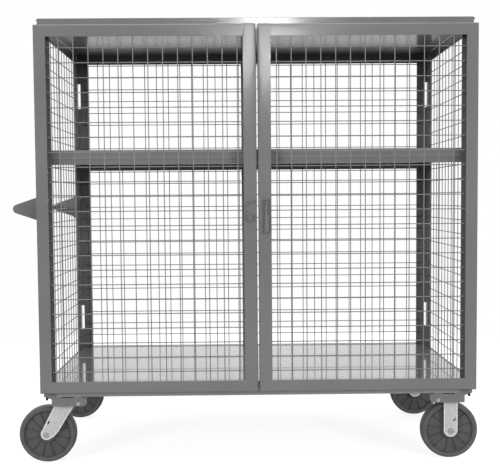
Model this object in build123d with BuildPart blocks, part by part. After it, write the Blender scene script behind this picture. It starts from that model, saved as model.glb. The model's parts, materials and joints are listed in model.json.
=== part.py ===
from build123d import *
import os
from math import cos, radians, sin

os.makedirs("parts", exist_ok=True)

# ---------------------------------------------------------------------------
# Wire mesh security cart.  Millimetres, +Z up, doors face -Y, push handle -X.
# The origin is on the floor under the middle of the object's box.  XC and YD
# place the body: X is counted from the middle of the body, and Y from the
# plane of the doors' upright wires, towards the back.
# ---------------------------------------------------------------------------
XC = 36.2
YD = -376.69
# Z below is counted from 3.5 mm above the floor: every solid is raised by ZD
ZD = 3.5

# welded wire mesh
PITCH = 50.8
WIRE_R = 1.715          # 10 gauge wire, 3.43 mm

# posts and body
POST_X = 759.0          # outer face of the side legs
POST_T = 3.0
POST_FACE = 44.5        # width of the leg that faces front or back
POST_SIDE = 104.0       # width of the leg on the side
FRONT_Y = 39.5          # front face of the front posts
REAR_Y = 819.5          # rear face of the rear posts
POST_Z0 = 243.5
POST_Z1 = 1540.0

DECK_TOP = 293.0
DECK_T = 2.5
ROOF_TOP = 1562.5
ROOF_SKIRT = 1521.5
ROOF_T = 2.0
ROOF_X = 761.0
ROOF_Y0 = 37.0
ROOF_Y1 = 822.0

STRIP_X = (-51.5, 8.5)   # flat bar behind the joint of the rear panels

SHELF_TOP = 1110.5
SHELF_T = 2.0
SHELF_X = 748.7
SHELF_Y0 = 43.0
SHELF_Y1 = 809.2
SHELF_SKIRT = 1080.0

# doors
DOOR_X0 = 2.5           # meeting edge
DOOR_X1 = 762.0         # hinge edge
DOOR_Z0 = 264.5
DOOR_Z1 = 1534.5
DOOR_Y0 = -4.0          # outer face
DOOR_Y1 = 34.0          # rear edge of the return flanges
DOOR_T = 2.5
STILE_HINGE = 42.0
STILE_MEET = 45.0
RAIL = 41.5
BEND_R = 6.0

# hinges
HINGE_X = 762.3
HINGE_Y = 36.75
BARREL_R = 5.0
PIN_R = 2.75
HINGE_Z = (369.7, 1332.7)
HINGE_L = 104.6
SLOT_Z = (369.0, 1332.0)
SLOT_L = 106.0
SLOT_W = 11.0

# casters
WHEEL_R = 101.6
WHEEL_W = 50.8
CASTER_X = 690.0
CASTER_Y = (110.0, 749.0)
PLATE_Z0 = 231.5
WEB_Z0 = 237.5
TRAIL = 69.5
LEG_IN = 32.0
LEG_T = 5.0
AXLE_R = 6.35
BUSH_R = 9.55
BEARING_R = 15.9
KING_R = 6.5

# push handle
TUBE_R = 12.7
TUBE_X = -848.0
TUBE_Z = 907.5
NOSE_R = 16.0

# latch, drawn lifted off the keeper and swung outwards
ROD_R = 4.5
ROD_X = 29.8
ROD_Y = -14.0
ROD_SPAN = 55.3
LIFT = 20.0
SWING = 65.0


def level(z):
    """Horizontal sketch plane: local x is X, local y is Y."""
    return Plane(origin=(XC, YD, z))


def front(y):
    """Upright sketch plane facing the front: local x is X, local y is Z."""
    return Plane(origin=(XC, YD + y, 0), x_dir=(1, 0, 0), z_dir=(0, -1, 0))


def side(x):
    """Upright sketch plane facing +X: local x is Y, local y is Z."""
    return Plane(origin=(XC + x, YD, 0), x_dir=(0, 1, 0), z_dir=(1, 0, 0))


MIDDLE = Plane.YZ.offset(XC)
CROSS = Plane.XZ.offset(-(YD + (FRONT_Y + REAR_Y) / 2))


def save(obj, name):
    obj = obj.moved(Location((0, 0, ZD)))
    obj.label = name
    export_step(obj, f"parts/{name}.step")


def group(name, *parts):
    """Several separate solids of one kind kept together in one node."""
    solids = []
    for p in parts:
        solids += list(p.solids())
    save(Compound(solids), name)


def hex_r(across_flats):
    return across_flats / 3**0.5


# ---------------------------------------------------------------------------
# Deck: a pan with its flanges turned down and a return lip all round
# ---------------------------------------------------------------------------
DECK_X = POST_X - POST_T
DECK_Y0 = FRONT_Y + POST_T
DECK_Y1 = REAR_Y - POST_T
DECK_YM = (DECK_Y0 + DECK_Y1) / 2
SCREW_XY = [(sx * 750.0, y) for sx in (-1, 1) for y in (50.5, 808.5)]

with BuildPart() as deck_cavity:
    with BuildSketch(level(POST_Z0 + 2.5)):
        with Locations((0, DECK_YM)):
            RectangleRounded(
                2 * (DECK_X - DECK_T), DECK_Y1 - DECK_Y0 - 2 * DECK_T, 5.5
            )
    extrude(amount=DECK_TOP - POST_Z0 - 2.5 - DECK_T)
    fillet(deck_cavity.faces().sort_by(Axis.Z)[-1].edges(), 4.6)

with BuildPart() as deck_pan:
    with BuildSketch(level(POST_Z0)):
        with Locations((0, DECK_YM)):
            RectangleRounded(2 * DECK_X, DECK_Y1 - DECK_Y0, 8)
    extrude(amount=DECK_TOP - POST_Z0)
    fillet(deck_pan.faces().sort_by(Axis.Z)[-1].edges(), 7.1)
    add(deck_cavity.part, mode=Mode.SUBTRACT)
    with BuildSketch(level(POST_Z0)):
        with Locations((0, DECK_YM)):
            Rectangle(2 * (DECK_X - 22), DECK_Y1 - DECK_Y0 - 26)
    extrude(amount=2.5, mode=Mode.SUBTRACT)
    with BuildSketch(level(POST_Z0)):
        with Locations(*SCREW_XY):
            Circle(3.1)
    extrude(amount=2.5, mode=Mode.SUBTRACT)
save(deck_pan.part, "deck_pan")

with BuildPart() as corner_screws:
    with BuildSketch(level(POST_Z0)):
        with Locations(*SCREW_XY):
            Circle(3.0)
    extrude(amount=9)
    with BuildSketch(level(POST_Z0)):
        with Locations(*SCREW_XY):
            Circle(4.2)
    extrude(amount=-13)
    with BuildSketch(level(POST_Z0 - 13)):
        with Locations(*SCREW_XY):
            RegularPolygon(hex_r(4.0), 6)
    extrude(amount=5, mode=Mode.SUBTRACT)
save(corner_screws.part, "corner_screws")

# ---------------------------------------------------------------------------
# Caster mounting channels under the deck, front to back, lips at both ends
# ---------------------------------------------------------------------------
CH_IN, CH_OUT, LIP_OUT = 608.5, 745.0, 732.0
LIP_Z = 209.5
LIP_T = 5.0
CH_Y0, CH_Y1 = 42.0, 817.0
PLATE_BOLT = (33.35, 46.0)
BOLT_XY = [
    (CASTER_X + dx, y + dy)
    for y in CASTER_Y
    for dx in (-PLATE_BOLT[0], PLATE_BOLT[0])
    for dy in (-PLATE_BOLT[1], PLATE_BOLT[1])
]
LIP_BOLT = (637.7, 219.5)

with BuildPart() as channel_right:
    with BuildSketch(level(WEB_Z0)):
        with Locations(((CH_IN + CH_OUT) / 2, (CH_Y0 + CH_Y1) / 2)):
            Rectangle(CH_OUT - CH_IN, CH_Y1 - CH_Y0)
    extrude(amount=POST_Z0 - WEB_Z0)
    for y0 in (CH_Y0 + LIP_T, CH_Y1):
        with BuildSketch(front(y0)):
            with BuildLine():
                Polyline(
                    (CH_IN, WEB_Z0), (CH_IN, LIP_Z + 10), (CH_IN + 8, LIP_Z),
                    (LIP_OUT, LIP_Z), (LIP_OUT, WEB_Z0), close=True,
                )
            make_face()
        extrude(amount=LIP_T)
    with BuildSketch(front(CH_Y1)):
        with Locations(LIP_BOLT):
            Circle(4.1)
    extrude(amount=CH_Y1 - CH_Y0, mode=Mode.SUBTRACT)
    with BuildSketch(level(WEB_Z0)):
        with Locations(*BOLT_XY):
            Circle(4.9)
    extrude(amount=6, mode=Mode.SUBTRACT)
    with BuildSketch(level(POST_Z0 - 3.2)):
        for x, w in ((674.5, 43.0), (616.0, 15.0)):
            with Locations((x, CH_Y0 + 9.0), (x, CH_Y1 - 9.0)):
                Rectangle(w, 18)
    extrude(amount=3.2, mode=Mode.SUBTRACT)
save(channel_right.part, "caster_channel_right")

with BuildPart() as channel_left:
    mirror(channel_right.part, about=MIDDLE)
save(channel_left.part, "caster_channel_left")

with BuildPart() as lip_bolts:
    for sx in (-1, 1):
        for y0, out in ((CH_Y0, 1), (CH_Y1, -1)):
            with BuildSketch(front(y0)):
                with Locations((sx * LIP_BOLT[0], LIP_BOLT[1])):
                    RegularPolygon(hex_r(12), 6)
            extrude(amount=4.6 * out)
            with BuildSketch(front(y0)):
                with Locations((sx * LIP_BOLT[0], LIP_BOLT[1])):
                    Circle(4.0)
            extrude(amount=-12.5 * out)
            with BuildSketch(front(y0 + out * LIP_T)):
                with Locations((sx * LIP_BOLT[0], LIP_BOLT[1])):
                    RegularPolygon(hex_r(12), 6)
            extrude(amount=-5.5 * out)
save(lip_bolts.part, "lip_bolts")

# ---------------------------------------------------------------------------
# Posts: formed angles with a corner slot at each hinge height
# ---------------------------------------------------------------------------
BRACKET_BOLT_Z = (866.8, 944.8)
BRACKET_BOLT_Y = (70.0, 789.0)

with BuildPart() as post_plain:
    with BuildSketch(level(POST_Z0)):
        with BuildLine():
            Polyline(
                (POST_X - POST_FACE, FRONT_Y), (POST_X, FRONT_Y),
                (POST_X, FRONT_Y + POST_SIDE),
                (POST_X - POST_T, FRONT_Y + POST_SIDE),
                (POST_X - POST_T, FRONT_Y + POST_T),
                (POST_X - POST_FACE, FRONT_Y + POST_T), close=True,
            )
        make_face()
    extrude(amount=POST_Z1 - POST_Z0)
    fillet(
        post_plain.edges().filter_by(Axis.Z)
        .filter_by_position(Axis.X, XC + POST_X - 0.1, XC + POST_X + 0.1)
        .sort_by(Axis.Y)[0],
        4,
    )
    for z in SLOT_Z:
        with BuildSketch(level(z)):
            with Locations((POST_X - SLOT_W / 2 + 1, FRONT_Y + SLOT_W / 2 - 1)):
                Rectangle(SLOT_W + 2, SLOT_W + 2)
        extrude(amount=SLOT_L, mode=Mode.SUBTRACT)
    with BuildSketch(front(FRONT_Y + POST_T)):
        with BuildLine():
            Line((POST_X - POST_FACE, POST_Z0), (POST_X - POST_FACE + 14, POST_Z0))
            RadiusArc(
                (POST_X - POST_FACE + 14, POST_Z0),
                (POST_X - POST_FACE, POST_Z0 + 14), 14,
            )
            Line((POST_X - POST_FACE, POST_Z0 + 14), (POST_X - POST_FACE, POST_Z0))
        make_face()
    extrude(amount=POST_T, mode=Mode.SUBTRACT)
save(post_plain.part, "post_front_right")

with BuildPart() as post_rear_right:
    mirror(post_plain.part, about=CROSS)
save(post_rear_right.part, "post_rear_right")

with BuildPart() as post_front_left:
    mirror(post_plain.part, about=MIDDLE)
    with BuildSketch(side(-POST_X)):
        with Locations(*[(BRACKET_BOLT_Y[0], z) for z in BRACKET_BOLT_Z]):
            Circle(4.1)
    extrude(amount=POST_T, mode=Mode.SUBTRACT)
save(post_front_left.part, "post_front_left")

with BuildPart() as post_rear_left:
    mirror(post_rear_right.part, about=MIDDLE)
    with BuildSketch(side(-POST_X)):
        with Locations(*[(BRACKET_BOLT_Y[1], z) for z in BRACKET_BOLT_Z]):
            Circle(4.1)
    extrude(amount=POST_T, mode=Mode.SUBTRACT)
save(post_rear_left.part, "post_rear_left")

# ---------------------------------------------------------------------------
# Roof: a pan turned down over the heads of the posts
# ---------------------------------------------------------------------------
ROOF_YM = (ROOF_Y0 + ROOF_Y1) / 2

with BuildPart() as roof_cavity:
    with BuildSketch(level(ROOF_SKIRT)):
        with Locations((0, ROOF_YM)):
            Rectangle(2 * (ROOF_X - ROOF_T), ROOF_Y1 - ROOF_Y0 - 2 * ROOF_T)
    extrude(amount=ROOF_TOP - ROOF_T - ROOF_SKIRT)
    top = roof_cavity.faces().sort_by(Axis.Z)[-1]
    fillet(top.edges().filter_by(Axis.Y), 10)

with BuildPart() as roof_panel:
    with BuildSketch(level(ROOF_SKIRT)):
        with Locations((0, ROOF_YM)):
            Rectangle(2 * ROOF_X, ROOF_Y1 - ROOF_Y0)
    extrude(amount=ROOF_TOP - ROOF_SKIRT)
    top = roof_panel.faces().sort_by(Axis.Z)[-1]
    fillet(top.edges().filter_by(Axis.Y), 12)
    fillet(
        roof_panel.faces().sort_by(Axis.Z)[-1].edges().filter_by(Axis.X), 1.6
    )
    add(roof_cavity.part, mode=Mode.SUBTRACT)
    for y0 in (ROOF_Y0 + ROOF_T, ROOF_Y1):
        with BuildSketch(front(y0)):
            with Locations((-755.3, 1538.5), (755.3, 1538.5)):
                Rectangle(4.6, 34)
        extrude(amount=ROOF_T, mode=Mode.SUBTRACT)
    with BuildSketch(level(1542.0)):
        with Locations(*[
            (sx * 759.0, y)
            for sx in (-1, 1) for y in (ROOF_Y0 + 12.0, ROOF_Y1 - 12.0)
        ]):
            Rectangle(5.0, 24.5)
    extrude(amount=13.5, mode=Mode.SUBTRACT)
save(roof_panel.part, "roof_panel")

# ---------------------------------------------------------------------------
# Rear centre strip that backs the joint of the two rear mesh panels
# ---------------------------------------------------------------------------
with BuildPart() as back_center_strip:
    with BuildSketch(front(REAR_Y)):
        with Locations(((STRIP_X[0] + STRIP_X[1]) / 2, (POST_Z0 + POST_Z1) / 2)):
            Rectangle(STRIP_X[1] - STRIP_X[0], POST_Z1 - POST_Z0)
    extrude(amount=POST_T)
    fillet(back_center_strip.edges().filter_by(Axis.Z), 0.8)
save(back_center_strip.part, "back_center_strip")


# ---------------------------------------------------------------------------
# Mesh panels: upright and level wires at 2 inch pitch, welded where they touch
# ---------------------------------------------------------------------------
def flat_panel(name, xs, zs, x_ends, z_ends, y_up, y_level, mirrored=False):
    with BuildPart() as uprights:
        with BuildSketch(level(z_ends[0])):
            with Locations(*[(x, y_up) for x in xs]):
                Circle(WIRE_R)
        extrude(amount=z_ends[1] - z_ends[0])
    with BuildPart() as levels:
        with BuildSketch(side(x_ends[0])):
            with Locations(*[(y_level, z) for z in zs]):
                Circle(WIRE_R)
        extrude(amount=x_ends[1] - x_ends[0])
    if mirrored:
        with BuildPart() as uprights_m:
            mirror(uprights.part, about=MIDDLE)
        with BuildPart() as levels_m:
            mirror(levels.part, about=MIDDLE)
        group(name, uprights_m.part, levels_m.part)
    else:
        group(name, uprights.part, levels.part)


DOOR_XS = [67.2 + PITCH * k for k in range(-1, 14)]
DOOR_ZS = [1456.5 - PITCH * k for k in range(-1, 24)]
DOOR_UP = DOOR_Y0 + DOOR_T + WIRE_R
for mesh_name, is_left in (("door_mesh_right", False), ("door_mesh_left", True)):
    flat_panel(mesh_name, DOOR_XS, DOOR_ZS, (8.0, 736.0), (279.0, 1516.5),
               DOOR_UP, DOOR_UP + 2 * WIRE_R, is_left)

REAR_XS = [672.0 - PITCH * k for k in range(-1, 14)]
REAR_ZS = [1514.5 - PITCH * k for k in range(0, 25)]
REAR_UP = REAR_Y - POST_T - WIRE_R
for mesh_name, is_left in (("back_mesh_right", False), ("back_mesh_left", True)):
    flat_panel(mesh_name, REAR_XS, REAR_ZS, (0.5, 735.0), (293.4, 1527.0),
               REAR_UP, REAR_UP - 2 * WIRE_R, is_left)

SIDE_YS = [245.0 + PITCH * k for k in range(-3, 11)]
SIDE_UP = POST_X - POST_T - WIRE_R
with BuildPart() as side_uprights:
    with BuildSketch(level(293.4)):
        with Locations(*[(SIDE_UP, y) for y in SIDE_YS]):
            Circle(WIRE_R)
    extrude(amount=1527.0 - 293.4)
with BuildPart() as side_levels:
    with BuildSketch(front(766.0)):
        with Locations(*[(SIDE_UP - 2 * WIRE_R, z) for z in REAR_ZS]):
            Circle(WIRE_R)
    extrude(amount=766.0 - 87.0)
group("side_mesh_right", side_uprights.part, side_levels.part)
with BuildPart() as side_uprights_left:
    mirror(side_uprights.part, about=MIDDLE)
with BuildPart() as side_levels_left:
    mirror(side_levels.part, about=MIDDLE)
group("side_mesh_left", side_uprights_left.part, side_levels_left.part)

# ---------------------------------------------------------------------------
# Shelf: pan on four clips, with a stiffening angle behind its front flange
# ---------------------------------------------------------------------------
SHELF_YM = (SHELF_Y0 + SHELF_Y1) / 2
CLIP_Y = ((47.0, 84.0), (770.0, 806.0))
SHELF_SCREWS = [(sx * 739.0, (a + b) / 2) for sx in (-1, 1) for a, b in CLIP_Y]

with BuildPart() as shelf_panel:
    with BuildSketch(level(SHELF_SKIRT)):
        with Locations((0, SHELF_YM)):
            Rectangle(2 * SHELF_X, SHELF_Y1 - SHELF_Y0)
    extrude(amount=SHELF_TOP - SHELF_SKIRT)
    fillet(shelf_panel.faces().sort_by(Axis.Z)[-1].edges(), 1.8)
    with BuildSketch(level(SHELF_SKIRT + SHELF_T)):
        with Locations((0, SHELF_YM)):
            Rectangle(
                2 * (SHELF_X - SHELF_T), SHELF_Y1 - SHELF_Y0 - 2 * SHELF_T
            )
    extrude(amount=SHELF_TOP - SHELF_SKIRT - 2 * SHELF_T, mode=Mode.SUBTRACT)
    with BuildSketch(level(SHELF_SKIRT)):
        with Locations((0, SHELF_YM)):
            Rectangle(2 * (SHELF_X - 20), SHELF_Y1 - SHELF_Y0 - 2 * SHELF_T)
    extrude(amount=SHELF_T, mode=Mode.SUBTRACT)
    with BuildSketch(level(1063.0)):
        with Locations((0, SHELF_Y1 - SHELF_T / 2)):
            Rectangle(2 * 720.0, SHELF_T)
    extrude(amount=SHELF_SKIRT - 1063.0)
    with BuildSketch(level(SHELF_SKIRT)):
        with Locations(*SHELF_SCREWS):
            Circle(3.1)
    extrude(amount=SHELF_T, mode=Mode.SUBTRACT)
save(shelf_panel.part, "shelf_panel")

with BuildPart() as shelf_front_angle:
    with BuildSketch(side(-720.0)):
        with BuildLine():
            Polyline(
                (45.0, 1060.6), (70.0, 1060.6), (70.0, 1062.6), (47.0, 1062.6),
                (47.0, SHELF_TOP - SHELF_T), (45.0, SHELF_TOP - SHELF_T),
                close=True,
            )
        make_face()
    extrude(amount=1440.0)
save(shelf_front_angle.part, "shelf_front_angle")

with BuildPart() as shelf_clips:
    for y0, y1 in CLIP_Y:
        for sx in (-1, 1):
            with BuildSketch(front(y1)):
                with BuildLine():
                    Polyline(
                        (sx * 756.0, 1040.0), (sx * 756.0, 1080.0),
                        (sx * 727.0, 1080.0), (sx * 727.0, 1077.5),
                        (sx * 753.5, 1077.5), (sx * 753.5, 1040.0), close=True,
                    )
                make_face()
            extrude(amount=y1 - y0)
    with BuildSketch(level(1077.5)):
        with Locations(*SHELF_SCREWS):
            Circle(3.1)
    extrude(amount=2.5, mode=Mode.SUBTRACT)
save(shelf_clips.part, "shelf_clips")

with BuildPart() as shelf_screws:
    with BuildSketch(level(1077.5)):
        with Locations(*SHELF_SCREWS):
            Circle(3.0)
    extrude(amount=9.5)
    with BuildSketch(level(1077.5)):
        with Locations(*SHELF_SCREWS):
            RegularPolygon(hex_r(10), 6)
    extrude(amount=-4)
save(shelf_screws.part, "shelf_screws")

# ---------------------------------------------------------------------------
# Push handle on the left side: tube between two horn brackets
# ---------------------------------------------------------------------------
BRK_T = 4.0
BRK_X = -POST_X


def horn(name, y_plate, y_flange, bolt_y):
    """Bracket: horn plate from y_plate[0] to y_plate[1], flange on the post."""
    with BuildPart() as bracket:
        with BuildSketch(front(y_plate[1])):
            with BuildLine():
                Polyline(
                    (BRK_X, 955.0), (BRK_X - 16, 955.0), (BRK_X - 24, 946.5),
                    (TUBE_X - 5.2, TUBE_Z + 15.1),
                    (TUBE_X, TUBE_Z),
                    (TUBE_X - 5.2, TUBE_Z - 15.1),
                    (BRK_X - 24, 868.5), (BRK_X - 16, 860.0), (BRK_X, 860.0),
                    close=True,
                )
            make_face()
            with Locations((TUBE_X, TUBE_Z)):
                Circle(NOSE_R)
        extrude(amount=y_plate[1] - y_plate[0])
        with BuildSketch(side(BRK_X - BRK_T)):
            with Locations(((y_flange[0] + y_flange[1]) / 2, 907.5)):
                RectangleRounded(y_flange[1] - y_flange[0], 105, 6)
        extrude(amount=BRK_T)
        with BuildSketch(side(BRK_X - BRK_T)):
            with Locations(*[(bolt_y, z) for z in BRACKET_BOLT_Z]):
                Circle(4.1)
        extrude(amount=BRK_T, mode=Mode.SUBTRACT)
    save(bracket.part, name)


horn("handle_bracket_front", (84.0, 88.0), (52.0, 88.0), BRACKET_BOLT_Y[0])
horn("handle_bracket_rear", (771.0, 775.0), (771.0, 807.0), BRACKET_BOLT_Y[1])

with BuildPart() as handle_tube:
    with BuildSketch(front(771.0)):
        with Locations((TUBE_X, TUBE_Z)):
            Circle(TUBE_R)
            Circle(TUBE_R - 2.0, mode=Mode.SUBTRACT)
    extrude(amount=771.0 - 88.0)
save(handle_tube.part, "handle_tube")

BB_YZ = [(y, z) for y in BRACKET_BOLT_Y for z in BRACKET_BOLT_Z]
with BuildPart() as handle_bolts:
    with BuildSketch(side(BRK_X - BRK_T)):
        with Locations(*BB_YZ):
            RegularPolygon(hex_r(13), 6)
    extrude(amount=-5.0)
    with BuildSketch(side(BRK_X - BRK_T)):
        with Locations(*BB_YZ):
            Circle(4.0)
    extrude(amount=16.0)
    with BuildSketch(side(BRK_X + POST_T)):
        with Locations(*BB_YZ):
            RegularPolygon(hex_r(13), 6)
    extrude(amount=6.3)
save(handle_bolts.part, "handle_bolts")

# ---------------------------------------------------------------------------
# Casters.  Rigid pair on the right, swivel pair under the handle end.
# ---------------------------------------------------------------------------
AXLE_Z = WHEEL_R - ZD
LEG_Z = 101.6           # centre of the legs' rounded lower ends


def plate_sketch(x, y):
    with Locations((x, y)):
        RectangleRounded(102, 114, 10)


def rigid_fork(name, y):
    with BuildPart() as fork:
        with BuildSketch(level(PLATE_Z0)):
            plate_sketch(CASTER_X, y)
            with Locations(*[p for p in BOLT_XY if abs(p[1] - y) < 60]):
                Circle(4.9, mode=Mode.SUBTRACT)
        extrude(amount=WEB_Z0 - PLATE_Z0)
        for y0 in (y - LEG_IN, y + LEG_IN + LEG_T):
            with BuildSketch(front(y0)):
                with BuildLine():
                    Polyline(
                        (CASTER_X - 34, PLATE_Z0), (CASTER_X - 25, 214.0),
                        (CASTER_X - 25, LEG_Z), (CASTER_X + 25, LEG_Z),
                        (CASTER_X + 25, 214.0), (CASTER_X + 34, PLATE_Z0),
                        close=True,
                    )
                make_face()
                with Locations((CASTER_X, LEG_Z)):
                    Circle(25.0)
                with Locations((CASTER_X, AXLE_Z)):
                    Circle(AXLE_R + 0.1, mode=Mode.SUBTRACT)
                with Locations(Location((CASTER_X + 14, 139), 40)):
                    SlotOverall(14, 5, mode=Mode.SUBTRACT)
            extrude(amount=LEG_T)
    save(fork.part, name)


rigid_fork("rigid_fork_front", CASTER_Y[0])
rigid_fork("rigid_fork_rear", CASTER_Y[1])

ALL_BOLTS = BOLT_XY + [(-x, y) for x, y in BOLT_XY]
with BuildPart() as caster_bolts:
    with BuildSketch(level(POST_Z0)):
        with Locations(*ALL_BOLTS):
            RegularPolygon(hex_r(14), 6)
    extrude(amount=5.5)
    with BuildSketch(level(POST_Z0)):
        with Locations(*ALL_BOLTS):
            Circle(4.75)
    extrude(amount=-21.5)
    with BuildSketch(level(PLATE_Z0)):
        with Locations(*ALL_BOLTS):
            RegularPolygon(hex_r(14), 6)
    extrude(amount=-6.5)
save(caster_bolts.part, "caster_bolts")

CROWN_Z0, CROWN_Z1 = 213.0, 219.0
BOSS_R = 30.0
CUP_R = 42.0


def swivel_caster(tag, y):
    kx = -CASTER_X
    with BuildPart() as top_plate:
        with BuildSketch(level(PLATE_Z0)):
            plate_sketch(kx, y)
            with Locations(*[(-px, py) for px, py in BOLT_XY if abs(py - y) < 60]):
                Circle(4.9, mode=Mode.SUBTRACT)
        extrude(amount=WEB_Z0 - PLATE_Z0)
        with BuildSketch(level(225.5)):
            with Locations((kx, y)):
                Circle(BOSS_R)
        extrude(amount=PLATE_Z0 - 225.5)
        with BuildSketch(level(225.5)):
            with Locations((kx, y)):
                Circle(KING_R + 0.05)
        extrude(amount=12, mode=Mode.SUBTRACT)
        with BuildSketch(level(233.5)):
            with Locations((kx, y)):
                Circle(11.1)
        extrude(amount=4, mode=Mode.SUBTRACT)
    save(top_plate.part, f"swivel_plate_{tag}")

    with BuildPart() as balls:
        with Locations((XC + kx, YD + y, 222.25)):
            with PolarLocations(22, 16):
                Sphere(3.2)
        with Locations((XC + kx, YD + y, 227.3)):
            with PolarLocations(33.5, 24):
                Sphere(3.3)
    save(balls.part, f"swivel_balls_{tag}")

    with BuildPart() as fork:
        with BuildSketch(level(CROWN_Z0)):
            with Locations((kx, y)):
                Circle(CUP_R)
                Rectangle(60, 2 * (LEG_IN + LEG_T))
        extrude(amount=CROWN_Z1 - CROWN_Z0)
        with BuildSketch(level(CROWN_Z1)):
            with Locations((kx, y)):
                Circle(CUP_R)
                Circle(37.0, mode=Mode.SUBTRACT)
        extrude(amount=11.5)
        for y0 in (y - LEG_IN, y + LEG_IN + LEG_T):
            with BuildSketch(front(y0)):
                with BuildLine():
                    Polyline(
                        (kx - 33, 219.0), (kx - 43.8, 197.6),
                        (kx - 88.2, 110.6), (kx - TRAIL, LEG_Z),
                        (kx - 57.5, 84.5), (kx - 42.2, 93.8),
                        (kx - 26.7, 111.2), (kx + 25.7, 197.6),
                        (kx + 39.0, 219.0), close=True,
                    )
                make_face()
                with Locations((kx - TRAIL, LEG_Z)):
                    Circle(20.8)
                with Locations((kx - TRAIL, AXLE_Z)):
                    Circle(AXLE_R + 0.1, mode=Mode.SUBTRACT)
                with Locations(Location((kx - 61.6, 143.4), 62)):
                    SlotOverall(13, 5, mode=Mode.SUBTRACT)
            extrude(amount=LEG_T)
        with BuildSketch(level(CROWN_Z0)):
            with Locations((kx, y)):
                Circle(KING_R + 0.06)
        extrude(amount=6, mode=Mode.SUBTRACT)
    save(fork.part, f"swivel_fork_{tag}")


swivel_caster("front", CASTER_Y[0])
swivel_caster("rear", CASTER_Y[1])

with BuildPart() as kingpins:
    for y in CASTER_Y:
        with BuildSketch(level(233.5)):
            with Locations((-CASTER_X, y)):
                Circle(11.0)
        extrude(amount=4)
        with BuildSketch(level(233.5)):
            with Locations((-CASTER_X, y)):
                Circle(KING_R)
        extrude(amount=-29)
        with BuildSketch(level(212.7)):
            with Locations((-CASTER_X, y)):
                RegularPolygon(hex_r(19), 6)
        extrude(amount=-7)
save(kingpins.part, "kingpins")


def wheel(name, x, y, turn):
    """Moulded wheel: hub, web, twelve ribs a side, rim and smooth tread."""
    with BuildPart() as body:
        with BuildSketch(Plane(origin=(XC + x, YD + y, AXLE_Z),
                               x_dir=(1, 0, 0), z_dir=(0, 0, 1))):
            with BuildLine():
                Polyline(
                    (BEARING_R, -31.0), (25.0, -31.0), (28.5, -28.0),
                    (30.5, -17.5), (75.0, -14.0), (81.5, -22.4),
                    (85.0, -23.0), (88.0, -24.4), (93.0, -25.4),
                    (96.5, -24.3), (99.3, -21.0), (101.0, -16.5),
                    (101.6, -11.0), (101.6, 11.0), (101.0, 16.5),
                    (99.3, 21.0), (96.5, 24.3), (93.0, 25.4),
                    (88.0, 24.4), (85.0, 23.0), (81.5, 22.4),
                    (75.0, 14.0), (30.5, 17.5), (28.5, 28.0),
                    (25.0, 31.0), (BEARING_R, 31.0), close=True,
                )
            make_face()
        revolve(axis=Axis((XC + x, YD + y, AXLE_Z), (0, 1, 0)))
        with BuildSketch(front(y + 20.0)):
            with Locations((x, AXLE_Z)):
                with PolarLocations(53.5, 12, start_angle=turn):
                    Rectangle(49, 2.6)
        extrude(amount=40.0)
    save(body.part, name)


def ring(name, r_in, r_out, half, places):
    with BuildPart() as body:
        for x, y in places:
            with BuildSketch(front(y + half)):
                with Locations((x, AXLE_Z)):
                    Circle(r_out)
                    Circle(r_in, mode=Mode.SUBTRACT)
            extrude(amount=2 * half)
    save(body.part, name)


def axle_bolt(name, places):
    with BuildPart() as body:
        for x, y in places:
            with BuildSketch(front(y - LEG_IN - LEG_T)):
                with Locations((x, AXLE_Z)):
                    Circle(9.5)
            extrude(amount=3.5)
            with BuildSketch(front(y - LEG_IN - LEG_T)):
                with Locations((x, AXLE_Z)):
                    Circle(AXLE_R)
            extrude(amount=-(2 * (LEG_IN + LEG_T) + 12.5))
            with BuildSketch(front(y + LEG_IN + LEG_T)):
                with Locations((x, AXLE_Z)):
                    RegularPolygon(hex_r(19), 6)
            extrude(amount=-10.5)
    save(body.part, name)


FL = (-CASTER_X - TRAIL, CASTER_Y[0])
RL = (-CASTER_X - TRAIL, CASTER_Y[1])
FR = (CASTER_X, CASTER_Y[0])
RR = (CASTER_X, CASTER_Y[1])
for tag, place, turn in (("front_left", FL, 16.5), ("rear_left", RL, 16.5),
                         ("front_right", FR, 18.0), ("rear_right", RR, 18.0)):
    wheel(f"wheel_{tag}", *place, turn)
    ring(f"wheel_bearing_{tag}", BUSH_R + 0.06, BEARING_R, 31.0, [place])
for tag, places in (("swivel_front", [FL]), ("swivel_rear", [RL]),
                    ("rigid", [FR, RR])):
    ring(f"axle_bushing_{tag}", AXLE_R + 0.1, BUSH_R, LEG_IN, places)
    axle_bolt(f"axle_bolt_{tag}", places)

# ---------------------------------------------------------------------------
# Door frames: formed ring, outer edges bent back all round
# ---------------------------------------------------------------------------
DOOR_XM = (DOOR_X0 + DOOR_X1) / 2
DOOR_ZM = (DOOR_Z0 + DOOR_Z1) / 2
DOOR_W = DOOR_X1 - DOOR_X0
DOOR_H = DOOR_Z1 - DOOR_Z0

with BuildPart() as door_cavity:
    with BuildSketch(front(DOOR_Y1)):
        with Locations((DOOR_XM, DOOR_ZM)):
            Rectangle(DOOR_W - 2 * DOOR_T, DOOR_H - 2 * DOOR_T)
    extrude(amount=DOOR_Y1 - DOOR_Y0 - DOOR_T)
    fillet(door_cavity.faces().sort_by(Axis.Y)[0].edges(), BEND_R - DOOR_T)

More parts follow.
